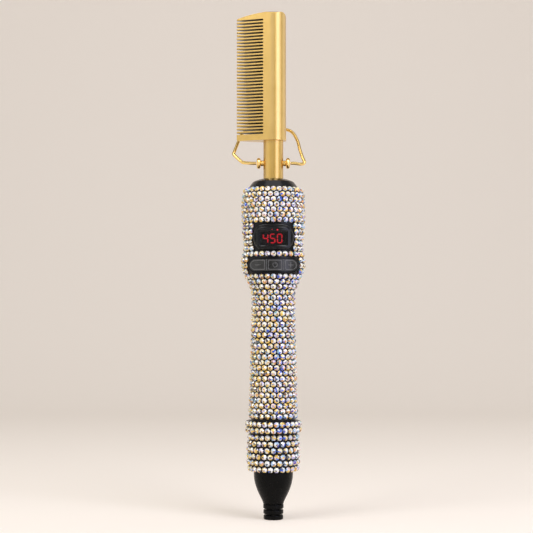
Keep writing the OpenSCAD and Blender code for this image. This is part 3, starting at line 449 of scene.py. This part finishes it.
# how a tint's weight on the crown changes from place to place: a factor, then what is added; plain holds
# everywhere, the others where tintPlaces says, warmNear where both do, warmFront where warm does and far
# doesn't
crownFactors = {
    "gold": {"plain": 0.8, "left": 0.8, "far": -0.15, "warmFront": 0.9},
    "cream": {"plain": 0.8, "left": 0.6, "far": 0.5},
    "lilac": {"plain": 1.0, "far": 0.5, "near": 0.6},
}
crownExtras = {
    "teal": {"edge": 0.25},
    "sky": {"edge": 0.30, "near": 0.1, "warmNear": 0.5},
    "blue": {"near": 0.15, "warmNear": 0.65},
}
deepTints = {
    "blue": {"plain": 0.25, "near": 2.2, "warmNear": 4.3},
    "violet": {"plain": 0.35, "near": 0.3},
    "brown": {"plain": 0.8, "left": 0.9, "warm": 0.6},
    "smoke": {"plain": 1.4},
    "gold": {"plain": 0.3, "left": 0.5, "warmFront": 0.9},
    "amber": {"plain": 0.2, "warm": 0.2},
    "sky": {"plain": 0.25, "far": 0.5},
    "lilac": {"plain": 0.25, "far": 0.8},
    "pink": {"plain": 0.15, "far": 0.3},
    "white": {"far": 0.3},
}
# where each change starts and is complete, as angles round the handle from its front, in degrees
tintPlaces = {
    "left": (0, -45),
    "far": (28, 58),
    "edge": (40, 70),          # to both sides
    "near": (17, 15),          # middle and width of the bluish strip of painted reflection
    "warm": (150, 130),        # heights in mm
}
# dark tints on the rim and girdle: painted shade between the crystals
rimTints = {"smoke": 0.55, "brown": 0.25, "violet": 0.12, "teal": 0.10}
girdleTints = {"smoke": 1.2, "brown": 0.8, "violet": 0.3, "teal": 0.2, "gold": 0.05}
tints = list(coatingAndPaintedLight)


# the cut, as rings round the axis: base, girdle, middle and table, the middle turned by half a side;
# its faces are the base, the girdle, kites, stars between them, lower triangles and the table's triangles;
# a face's kind is 2 at the base and girdle, 1 at the rim and 0 elsewhere
def crystalShape(cut):
    n = cut["sides"]
    turn = 2 * np.pi * np.arange(n) / n
    ring = lambda radius, height, shift: np.stack(
        [radius * np.cos(turn + shift), radius * np.sin(turn + shift), np.full(n, height)], -1)
    points = np.concatenate([
        ring(cut["girdleRadius"], 0, 0),
        ring(cut["girdleRadius"], cut["girdleHeight"], 0),
        ring(cut["midRadius"], cut["midHeight"], np.pi / n),
        ring(cut["tableRadius"], cut["tableHeight"], 0)])
    base, girdle, middle, table = (np.arange(n) + k * n for k in range(4))
    after = lambda r: np.roll(r, -1)
    before = lambda r: np.roll(r, 1)
    faces = [base[::-1].tolist()]
    faces += np.stack([base, after(base), after(girdle), girdle], -1).tolist()
    faces += np.stack([girdle, middle, table, before(middle)], -1).tolist()
    faces += np.stack([middle, after(table), table], -1).tolist()
    faces += np.stack([girdle, after(girdle), middle], -1).tolist()
    faces += np.stack([table, after(table), np.full(n, 4 * n)], -1).tolist()
    kind = np.repeat([2, 0, 1, 0], [n + 1, 2 * n, n, n])
    return np.concatenate([points, [[0, 0, cut["tableHeight"]]]]), faces, kind


# the corners' places and the number of the connected piece each belongs to: corners at one place share a
# label, and every label sinks to the smallest one it touches until none changes
def pieceNumbers(corners, stepsPerMetre=1e6):
    grid = np.round(corners.reshape(-1, 3) * stepsPerMetre).astype(np.int64)
    spots, spotOf = np.unique(grid, axis=0, return_inverse=True)
    spotOf = spotOf.reshape(-1, 3)
    label = np.arange(len(spots))
    changed = True
    while changed:
        lower = label.copy()
        np.minimum.at(lower, spotOf.ravel(), np.repeat(label[spotOf].min(1), 3))
        lower = lower[lower]
        changed = bool((lower != label).any())
        label = lower
    number = np.unique(label, return_inverse=True)[1]
    return spots / stepsPerMetre, number.ravel()


# where a node's crystals sit: the middle of each back and its outward axis, the direction in which
# the crystal's corners spread least
def crystalPlaces(name):
    spots, number = pieceNumbers(trianglesOf(name))
    count = number.max() + 1
    average = lambda values: np.bincount(number, values, count) / np.bincount(number, minlength=count)
    middle = np.stack([average(spots[:, k]) for k in range(3)], -1)
    offsets = spots - middle[number]
    products = np.stack([[average(offsets[:, i] * offsets[:, j]) for i in range(3)] for j in range(3)])
    axis = np.linalg.eigh(products.transpose(2, 0, 1))[1][:, :, 0]
    axis *= np.sign((axis[:, :2] * middle[:, :2]).sum(1))[:, None]
    back = np.full(count, np.inf)
    np.minimum.at(back, number, (offsets * axis[number]).sum(1))
    return middle + axis * back[:, None], axis


# weights of the coating's colours and of the painted highlights, reflections and shade, from the direction
# of a facet on its crystal in degrees, for crystals that face an angle round the handle and are more or less
# warm: on the crown every tint's weight falls off smoothly from its own direction; a deep patch near the
# middle, a painted dark reflection, and the girdle, painted shade, have their own
def facetWeights(kind, deep, direction, front, warm):
    middle, width = tintPlaces["near"]
    parts = {"plain": 1.0, "warm": warm, "near": np.exp(-((front - middle) / width) ** 2),
             "left": ramp(front, *tintPlaces["left"]), "far": ramp(front, *tintPlaces["far"]),
             "edge": ramp(np.abs(front), *tintPlaces["edge"])}
    parts["warmNear"] = warm * parts["near"]
    parts["warmFront"] = warm * (1 - parts["far"])
    blend = lambda amounts: sum(amount * parts[part] for part, amount in amounts.items())
    girdle, rim = kind == 2, kind == 1
    crown = ~(deep | girdle)
    w = {tint: crown * crownBase.get(tint, 0.0) for tint in tints}
    for tint, towards, weight, closeness in crownTints:
        nearness = np.cos(np.radians(direction - towards)) - 1
        w[tint] = w[tint] + crown * weight * np.exp(closeness * nearness)
    for tint, amounts in crownFactors.items():
        w[tint] = w[tint] * blend(amounts)
    for facets, amountsOf in ((crown, crownExtras), (deep, deepTints)):
        for tint, amounts in amountsOf.items():
            w[tint] = w[tint] + facets * blend(amounts)
    for tint, weight in girdleTints.items():
        w[tint] = w[tint] + girdle * weight
    total = sum(w.values())
    for tint, weight in rimTints.items():
        w[tint] = w[tint] + rim * weight * total
    stack = np.stack([w[tint] for tint in tints], -1)
    return stack / stack.sum(-1, keepdims=True)


# the colour of every facet, with its highlights, reflections and shade painted in: each crystal draws one
# tint for its deep patch and one for each sector of its crown, so that it shows a few broad patches, and
# some stray facets draw for themselves; the pattern moves with the crystal's angle from the front, and the
# handle's back repeats its front
def facetColors(look, rng, spots, kind, centre, spin):
    count, faces = len(centre), len(spots)
    angle = np.degrees(np.arctan2(centre[:, 0], -centre[:, 1]))
    front = np.mod(angle + 90, 180) - 90
    warm = ramp(centre[:, 2] / mm, *tintPlaces["warm"])
    c, s = np.cos(spin)[:, None], np.sin(spin)[:, None]
    seen = np.stack([spots[:, 0] * c - spots[:, 1] * s, spots[:, 0] * s + spots[:, 1] * c], -1)
    seen[..., 0] += look["turnShift"] * np.sin(np.radians(front))[:, None]
    direction = np.degrees(np.arctan2(seen[..., 1], seen[..., 0]))
    deepPlace = rng.normal(0, look["deepSpread"], (count, 1, 2)) + look["deepPlace"]
    reach = rng.uniform(*look["deepRadius"], (count, 1))
    kind = np.broadcast_to(kind[None], (count, faces))
    girdle = kind == 2
    deep = (np.linalg.norm(seen - deepPlace, axis=-1) < reach) & ~girdle
    sector = np.floor(np.mod(direction - look["sectorStart"], 360) * look["sectors"] / 360).astype(int)
    sectorMiddle = (sector + 0.5) * 360 / look["sectors"] + look["sectorStart"]
    stray = rng.random((count, faces)) < look["strays"]
    shared = rng.random((count, look["sectors"]))[np.arange(count)[:, None], sector]
    shared = np.where(deep, rng.random((count, 1)), shared)
    draw = np.where(stray | (kind > 0), rng.random((count, faces)), shared)
    towards = np.where(stray, direction, sectorMiddle)
    weights = facetWeights(kind, deep, towards, front[:, None], warm[:, None])
    pick = np.minimum((draw[..., None] > np.cumsum(weights, -1)).sum(-1), len(tints) - 1)
    brightness = rng.uniform(*look["brightness"], (count, faces, 1))
    return np.array([coatingAndPaintedLight[tint] for tint in tints])[pick] * brightness


# cut crystals at their places: the shape turned to each axis and spun by a random angle about it
def makeCrystals(name, places, seed):
    rng = np.random.default_rng(seed)
    points, faces, kind = crystalShape(crystalCut)
    centre, axis = places
    count = len(centre)
    side = np.cross(np.array([0.0, 0, 1]), axis)
    side /= np.linalg.norm(side, axis=1)[:, None]
    rise = np.cross(axis, side)
    spin = rng.uniform(0, 2 * np.pi, count)
    first = side * np.cos(spin)[:, None] + rise * np.sin(spin)[:, None]
    second = np.cross(axis, first)
    frameOf = np.stack([first, second, axis], 1)
    placed = centre[:, None] + mm * np.einsum("pk,nkj->npj", points, frameOf)
    allFaces = [[k + i * len(points) for k in face] for i in range(count) for face in faces]
    piece = makePiece(name, placed.reshape(-1, 3), allFaces, crystalGlass, False)
    spots = np.array([points[face].mean(0)[:2] for face in faces]) / crystalCut["girdleRadius"]
    color = facetColors(crystalLook, rng, spots, kind, centre, spin)
    corners = np.tile([len(face) for face in faces], count)
    perCorner = np.repeat(color.reshape(-1, 3), corners, axis=0)
    layer = piece.data.color_attributes.new("facetColor", "FLOAT_COLOR", "CORNER")
    layer.data.foreach_set("color", np.concatenate([perCorner, np.ones((len(perCorner), 1))], 1).ravel())
    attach(piece, "handle")
    return piece


# the row right above the ring: a node's lowest row again, further down and a little further out
def rowBelow(places, look):
    centre, axis = places
    low = centre[:, 2] < centre[:, 2].min() + look["lastRow"] * mm
    return centre[low] + mm * (look["lastRowOut"] * axis[low] - [0, 0, look["lastRowDrop"]]), axis[low]


crystalNodes = sorted(name for name in nodes if name.startswith("crystals"))
for k, name in enumerate(crystalNodes):
    places = crystalPlaces(name)
    piece = makeCrystals(name.replace("crystals", "cut_crystals"), places, crystalLook["seed"] + k)
    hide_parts(name)
    if name == "crystals_grip_a":
        rowSeed = crystalLook["seed"] + len(crystalNodes)
        makeCrystals("cut_crystals_last_row", rowBelow(places, crystalLook), rowSeed)
print("crystal pieces:", len(crystalNodes) + 1)


# the wire rest, in mm
wireRest = {
    "radius": 1.0,
    "start": 10.6,        # where the wire leaves its studs, from the axis, and how far it runs straight
    "straight": 13.3,
    "leftReach": 24.5,
    "rightReach": 19.2,
    "height": 23.8,       # of the top above the studs, and its depth behind them, mm
    "depth": 13.6,
    "sides": 20,
    "perSpan": 10,
    # points of each half as shares of its reach, of the depth and of the height
    "left": [
        [0.74, 0.01, 0.02], [0.80, 0.03, 0.045], [0.95, 0.17, 0.19], [1, 0.25, 0.26], [0.99, 0.30, 0.31],
        [0.94, 0.46, 0.455], [0.88, 0.64, 0.63], [0.82, 0.82, 0.80], [0.73, 0.91, 0.89], [0.52, 0.97, 0.96]],
    "right": [
        [0.90, 0, -0.02], [1, 0.03, 0.03], [0.94, 0.18, 0.17], [0.86, 0.40, 0.39], [0.79, 0.64, 0.63],
        [0.64, 0.87, 0.86], [0.42, 0.97, 0.96]],
}


# a smooth curve through points: every span is a Catmull-Rom cubic of its four nearest points
def smoothCurve(points, perSpan):
    p = np.concatenate([points[:1], points, points[-1:]])
    a, b, c, d = (p[k:len(p) - 3 + k, None] for k in range(4))
    t = (np.arange(perSpan) / perSpan)[None, :, None]
    square, cube = 2 * a - 5 * b + 4 * c - d, 3 * b - a - 3 * c + d
    curve = 0.5 * (2 * b + (c - a) * t + square * t ** 2 + cube * t ** 3)
    return np.concatenate([curve.reshape(-1, 3), points[-1:]])


# a tube: circles square to the path, whose first axis is the given direction flat made square to it
def tubeAlong(path, radius, sides, flat):
    along = np.gradient(path, axis=0)
    along /= np.linalg.norm(along, axis=1)[:, None]
    across = flat - (along @ flat)[:, None] * along
    across /= np.linalg.norm(across, axis=1)[:, None]
    other = np.cross(along, across)
    turn = 2 * np.pi * np.arange(sides) / sides
    rings = path[:, None] + radius * (
        np.cos(turn)[None, :, None] * across[:, None] + np.sin(turn)[None, :, None] * other[:, None])
    faces = gridFaces(len(path), sides, True)
    last = (len(path) - 1) * sides
    faces += [list(range(sides))[::-1], list(range(last, last + sides))]
    return rings.reshape(-1, 3), [face[::-1] for face in faces]


# the wire: a tube along a smooth curve from one stud up its side, over the top and down to the other stud
def makeWireRest(look):
    half = lambda side, reach: np.array(look[side]) * [reach, look["depth"], look["height"]]
    ends = np.array([[look["start"], 0, 0], [look["straight"], 0, 0]])
    points = np.concatenate([
        -ends, half("left", -look["leftReach"]), [[0, look["depth"], look["height"]]],
        half("right", look["rightReach"])[::-1], ends[::-1]])
    path = smoothCurve(points, look["perSpan"]) * mm + [0, 0, pivotHeight]
    lean = math.atan2(look["height"], look["depth"])
    flat = np.array([0, -math.sin(lean), math.cos(lean)])
    rings, faces = tubeAlong(path, look["radius"] * mm, look["sides"], flat)
    wire = makePiece("bent_wire", rings, faces, goldWire)
    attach(wire, "wire_rest")
    return wire


wire = makeWireRest(wireRest)
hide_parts("stand_wire")
print("wire rest made")


# the moulded bezel round the display, in mm
bezel = {
    "height": 171.8, "halfHeight": 7.95,      # of its middle, mm
    "foot": (8.2, -6.15, 1.8, -90, -35),      # arcs of the right half: centre X, Z, radius, from, to
    "side": (3.4, -0.5, 9.0, -28, 24),
    "shoulder": (8.0, 4.45, 2.8, 18, 84),
    "arch": 0.7,
    "face": 18.6, "faceRadius": 26.0, "back": 12.6,
    "windowHeight": 170.5,
    "window": (7.6, 4.05), "windowCorner": 0.4,
    "frame": (10.0, 5.55), "frameCorner": 0.7,
    "frameRise": 0.36,
    "frameRoom": 0.75,                        # what the frame leaves free inside the outline
    "glass": 16.6,
    "around": 480,
    "dimples": (10.9, 0.32, 0.35),            # of the two small marks: X, radius, depth
    "rimWidth": (1.0, 0.6),                   # in mm, but at most this share of the room beside the frame
    "grooveRoom": (1.5, 2.4),                 # the room at which the groove starts, and is at its full depth
    "frameFoot": 0.1,                         # how far outside the frame's edge its foot is
    "flatRing": 0.2,                          # ring beside the foot, as a share of the way to the rim
    # the profile from outside to inside; rim: mm in from the outline, rise
    "rim": [(0, -1.1), (0.06, -0.7), (0.22, -0.38), (0.5, -0.12)],
    # groove: share of the way from the rim to the frame's foot, rise
    "groove": [
        (0.05, 0), (0.10, -0.12), (0.17, -0.34), (0.26, -0.42), (0.35, -0.34), (0.42, -0.12), (0.47, 0)],
    # frame: mm in from its edge, share of its rise
    "frameSide": [(0, 0.05), (0.1, 0.5), (0.22, 0.95), (0.32, 1)],
    # inner step: share of the way from the window to the frame's top, share of the rise
    "step": [(0.62, 1), (0.55, 0.94), (0.50, 0.5), (0.44, 0.35)],
    # lip: mm out from the window, share of the rise; then the window's own edge, as a rise
    "lip": [(0.15, 0.3), (0.05, 0.1)],
    "windowEdge": -0.15,
}


# points of an arc about (x, z)
def arcPoints(x, z, radius, start, end, steps=24):
    turn = np.radians(np.linspace(start, end, steps))
    return np.stack([x + radius * np.cos(turn), z + radius * np.sin(turn)], -1)


# the distance from the origin to a closed outline in each of the given directions
def radiusAt(outline, directions, steps=40):
    loop = np.concatenate([outline, outline[:1]])
    share = np.linspace(0, 1, steps, endpoint=False)[None, :, None]
    fine = (loop[:-1, None] * (1 - share) + loop[1:, None] * share).reshape(-1, 2)
    turn = np.arctan2(fine[:, 1], fine[:, 0])
    order = np.argsort(turn)
    return np.interp(directions, turn[order], np.hypot(*fine.T)[order], period=2 * np.pi)


# the outline of a box with round corners: four quarter circles
def roundedBox(halfWidth, halfHeight, corner, steps=10):
    x, z = halfWidth - corner, halfHeight - corner
    corners = ((x, z, 0), (-x, z, 90), (-x, -z, 180), (x, -z, 270))
    return np.concatenate([arcPoints(*at, corner, start, start + 90, steps) for *at, start in corners])


# rings between the bezel's outline and its window, each with a distance r from the window's middle in
# every direction and a rise h above the face: rounded rim, groove under the arch, framed window;
# y = -face + R - sqrt(R^2 - x^2) - h, with R the radius of the face, plus a round dip at each of the two
# small marks; the first ring is flat at the back and the last at the glass
def makeBezel(look, archSteps=12):
    turn = np.linspace(-np.pi, np.pi, look["around"], endpoint=False)
    shift = look["height"] - look["windowHeight"]
    t = np.linspace(1, 0, archSteps)[1:-1]
    arch = np.stack([look["shoulder"][0] * t, look["halfHeight"] - look["arch"] * t ** 2], -1)
    right = np.concatenate([*(arcPoints(*look[part]) for part in ("foot", "side", "shoulder")), arch])
    outline = np.concatenate([right, right[::-1] * [-1, 1]]) + [0, shift]
    outer = radiusAt(outline, turn)
    frameEdge = radiusAt(roundedBox(*look["frame"], look["frameCorner"]), turn)
    frameEdge = np.minimum(frameEdge, outer - look["frameRoom"])
    window = radiusAt(roundedBox(*look["window"], look["windowCorner"]), turn)

    room = outer - frameEdge
    width, share = look["rimWidth"]
    rim = outer - np.minimum(width, share * room)
    foot = frameEdge + look["frameFoot"]
    land = rim - foot
    cut = ramp(room, *look["grooveRoom"])
    rise = look["frameRise"]
    top = frameEdge - look["frameSide"][-1][0]
    rings = [(outer, 0)]
    rings += [(outer - inward, height) for inward, height in look["rim"]] + [(rim, 0)]
    rings += [(rim - share * land, height * cut) for share, height in look["groove"]]
    rings += [(foot + look["flatRing"] * land, 0), (foot, 0)]
    rings += [(frameEdge - inward, share * rise) for inward, share in look["frameSide"]]
    rings += [(window + way * (top - window), share * rise) for way, share in look["step"]]
    rings += [(window + outward, share * rise) for outward, share in look["lip"]]
    rings += [(window, look["windowEdge"]), (window, 0)]

    radius = np.stack([r for r, _ in rings])
    height = np.stack([np.broadcast_to(h, turn.shape) for _, h in rings])
    x, z = radius * np.cos(turn), radius * np.sin(turn)
    mark, wide, deep = look["dimples"]
    dip = deep * np.exp(-((np.abs(x) - mark) ** 2 + z ** 2) / wide ** 2)
    y = -look["face"] + look["faceRadius"] - np.sqrt(look["faceRadius"] ** 2 - x ** 2) - height + dip
    y[0], y[-1] = -look["back"], -look["glass"]
    points = np.stack([x, y, z + look["windowHeight"]], -1).reshape(-1, 3) * mm
    faces = [face[::-1] for face in gridFaces(len(rings), len(turn), True)]
    return makePiece("moulded_bezel", points, faces, bezelPlastic)


mouldedBezel = makeBezel(bezel)
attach(mouldedBezel, "handle")
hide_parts("display_bezel")
print("bezel made")


# ribs and raised lines of the key pad, in mm
keyTrim = {
    "height": 154.55,         # of the pad's middle, mm
    "halfWidth": 14.6, "halfHeight": 3.6,
    "splits": (-4.2, 6.1),    # X of the ribs between the keys
    "gap": 0.6,
    "reach": 19.4,            # radius of the keys' faces
    "ribRadius": 0.2,
    "ribSink": 0.05,          # how deep a rib's middle lies in the pad
    "ribShort": 0.15,         # what a rib leaves free at each end
    "lineRadius": 0.22,
    "lineInset": 0.85,
    "lineSink": 0.06,         # how deep a raised line's middle lies in its key
    "lineSides": 8,
    "lineStep": 0.25,
    "leastPoints": 8,
    "corner": 0.5,            # of a border's corners beside a rib
    "iconSize": 3.2,
    "iconBold": 1.2,          # of the signs' lines, against the borders'
    "powerRing": (0.25, 120, 420),    # how much smaller than the sign, and the arc's ends in degrees
    "powerStem": 0.2,         # how far the stem is moved up
}


# a raised line along a flat path (x, z) laid on the keys' faces: y = -sqrt((reach - sink)^2 - x^2)
def raisedLine(look, path, radius, sink, closed):
    path = np.asarray(path, float)
    if closed:
        path = np.concatenate([path, path[:1]])
    step = np.concatenate([[0], np.cumsum(np.hypot(*np.diff(path, axis=0).T))])
    at = np.linspace(0, step[-1], max(look["leastPoints"], int(step[-1] / look["lineStep"])))
    x, z = np.interp(at, step, path[:, 0]), np.interp(at, step, path[:, 1])
    y = -np.sqrt((look["reach"] - sink) ** 2 - x ** 2)
    route = np.stack([x, y, z + look["height"]], -1) * mm
    return tubeAlong(route, radius * mm, look["lineSides"], np.array([0, -1.0, 0]))


# one mesh of several tubes
def joinTubes(name, tubes, material):
    start = np.concatenate([[0], np.cumsum([len(points) for points, _ in tubes])])
    faces = [[k + int(first) for k in face] for (_, faces), first in zip(tubes, start) for face in faces]
    return makePiece(name, np.concatenate([points for points, _ in tubes]), faces, material)


# the border of a key: the pad's outline between two splits, drawn in by the inset
def keyBorder(look, low, high, steps=6):
    inset = look["lineInset"]
    r = look["halfHeight"] - inset
    centre = look["halfWidth"] - look["halfHeight"]
    corner = look["corner"]
    left = arcPoints(-centre, 0, r, 90, 270) if low is None else np.concatenate([
        arcPoints(low + inset + corner, r - corner, corner, 90, 180, steps),
        arcPoints(low + inset + corner, corner - r, corner, 180, 270, steps)])
    right = arcPoints(centre, 0, r, -90, 90) if high is None else np.concatenate([
        arcPoints(high - inset - corner, corner - r, corner, -90, 0, steps),
        arcPoints(high - inset - corner, r - corner, corner, 0, 90, steps)])
    return np.concatenate([left, right])


# the lines of a key's sign, in the middle at x: a level line, a cross, or an open ring with a stem
def keyIcon(look, kind, x):
    half = look["iconSize"] / 2
    level = [(x - half, 0), (x + half, 0)]
    upright = [(x, -half), (x, half)]
    if kind == "minus":
        return [level]
    if kind == "plus":
        return [level, upright]
    smaller, start, end = look["powerRing"]
    stem = [(x, look["powerStem"]), (x, half + look["powerStem"])]
    return [arcPoints(x, 0, half - smaller, start, end), stem]


# borders and signs ride on their keys, the ribs between the keys stay with the handle; all are in the
# lighter rubber, a painted highlight along them
def makeKeyTrim(look):
    gap = look["gap"] / 2
    low, high = look["splits"]
    spans = {"minus": (None, low - gap), "power": (low + gap, high - gap), "plus": (high + gap, None)}
    edges = {"minus": (-look["halfWidth"], low), "power": (low, high), "plus": (high, look["halfWidth"])}
    radius, sink = look["lineRadius"], look["lineSink"]
    for kind, (start, end) in spans.items():
        tubes = [raisedLine(look, keyBorder(look, start, end), radius, sink, True)]
        for line in keyIcon(look, kind, sum(edges[kind]) / 2):
            tubes.append(raisedLine(look, line, radius * look["iconBold"], sink, False))
        lines = joinTubes(kind + "_key_lines", tubes, paintedHighlightRubber)
        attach(lines, kind + "_key")
    reach = look["halfHeight"] - look["ribShort"]
    ribs = [raisedLine(look, [(x, -reach), (x, reach)], look["ribRadius"], look["ribSink"], False)
            for x in look["splits"]]
    ribPiece = joinTubes("key_ribs", ribs, paintedHighlightRubber)
    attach(ribPiece, "handle")


makeKeyTrim(keyTrim)
print("key trim made")


# floor, backdrop and the light from everywhere; lengths are in metres
stage = {
    "floorColor": (0.735, 0.69, 0.64),
    "glow": (0.84, 0.72, 0.61),      # the sheet's own tone, for the camera, mirrors and glass
    "glowStrength": 0.383,
    "front": -3.0,
    "sweepStart": 0.9,               # where the floor begins to bend up
    "sweepRadius": 0.7,
    "wallTop": 2.4,
    "halfWidth": 3.0,
    "floorDrop": 0.0001,             # how far the sheet lies below the part's foot
    "world": 0.25,
    "worldColor": (1, 0.99, 0.98),
}

# lamps: name, angle from the front in degrees, distance and height in metres, width and height of the
# panel, power, colour
lamps = [
    ("keyBroad", 49, 1.15, 0.30, 1.10, 1.0, 2.9, (1, 1, 1)),
    ("keyWindow", 43, 1.0, 0.30, 0.50, 1.0, 1.9, (0.84, 0.86, 1.55)),
    ("fillLeft", -74, 1.2, 0.28, 1.40, 1.0, 3.4, (1, 1, 1)),
    ("frontPanel", -16, 1.4, 0.62, 1.20, 0.5, 1.6, (1, 1, 1)),
    ("rimRight", 106, 1.2, 0.30, 0.80, 1.0, 1.95, (1, 1, 1)),
    ("topRight", 38, 0.85, 1.05, 0.60, 0.60, 5.8, (1, 1, 1)),
    ("topLeft", -48, 0.85, 0.95, 0.50, 0.50, 4.2, (1, 1, 1)),
    ("topPanel", 0, 0.30, 1.25, 0.90, 0.90, 2.0, (1, 1, 1)),
]
lampAim = (0, 0, 0.17)     # metres

cameraSetup = {
    "place": (-0.0042, -0.828, 0.12145),     # metres
    "tilt": 2.27,                            # degrees above level
    "lens": 91.0,                            # mm
    "sensor": 36,
    "clipStart": 0.01,
}


# floor and backdrop in one sheet: a flat stretch, a quarter circle, then upright
def makeSweep(look, flatSteps=12, bendSteps=24, columns=9):
    flat = np.linspace(look["front"], look["sweepStart"], flatSteps)
    bend = np.linspace(0, np.pi / 2, bendSteps)[1:]
    y = np.concatenate([flat, look["sweepStart"] + look["sweepRadius"] * np.sin(bend)])
    z = np.concatenate([np.zeros(flatSteps), look["sweepRadius"] * (1 - np.cos(bend)), [look["wallTop"]]])
    y = np.append(y, y[-1])
    x = np.linspace(-look["halfWidth"], look["halfWidth"], columns)
    grid = np.stack(np.broadcast_arrays(x[None], y[:, None], z[:, None] - look["floorDrop"]), -1)
    sockets = {"Base Color": look["floorColor"], "Roughness": 0.9, "Specular IOR Level": 0.1,
               "Emission Color": look["glow"]}
    material, tree, shader = startMaterial("studioPaper", sockets)
    ray = addNode(tree, "ShaderNodeLightPath")
    mirrored = compute(tree, "MAXIMUM", ray.outputs["Is Glossy Ray"], ray.outputs["Is Transmission Ray"])
    seen = compute(tree, "MAXIMUM", ray.outputs["Is Camera Ray"], mirrored)
    tree.links.new(multiply(tree, seen, look["glowStrength"]), shader.inputs["Emission Strength"])
    sheet = makePiece("sweep", grid.reshape(-1, 3), gridFaces(len(y), columns), material)


# an area lamp at an angle from the front, aimed at lampAim
def addLamp(name, angle, distance, height, width, tall, power, color):
    lamp = bpy.data.lights.new(name, "AREA")
    lamp.shape = "RECTANGLE"
    lamp.size, lamp.size_y = width, tall
    lamp.energy = power
    lamp.color = color
    holder = bpy.data.objects.new(name, lamp)
    turn = math.radians(angle)
    place = np.array([math.sin(turn) * distance, -math.cos(turn) * distance, height])
    holder.location = place
    aim = lampAim - place
    holder.rotation_euler = (math.atan2(math.hypot(*aim[:2]), -aim[2]), 0, math.atan2(-aim[0], aim[1]))
    bpy.context.scene.collection.objects.link(holder)


def makeCamera(look):
    camera = bpy.data.cameras.new("camera")
    camera.lens = look["lens"]
    camera.sensor_width = look["sensor"]
    camera.clip_start = look["clipStart"]
    holder = bpy.data.objects.new("camera", camera)
    holder.location = look["place"]
    holder.rotation_euler = (math.radians(90 + look["tilt"]), 0, 0)
    bpy.context.scene.collection.objects.link(holder)
    bpy.context.scene.camera = holder


def makeWorld(look):
    world = bpy.data.worlds.new("studio")
    world.use_nodes = True
    background = world.node_tree.nodes["Background"]
    background.inputs["Color"].default_value = (*look["worldColor"], 1)
    background.inputs["Strength"].default_value = look["world"]
    bpy.context.scene.world = world


makeSweep(stage)
for lampRow in lamps:
    addLamp(*lampRow)
makeCamera(cameraSetup)
makeWorld(stage)
bpy.context.scene.view_settings.view_transform = "Standard"

print("stage made")
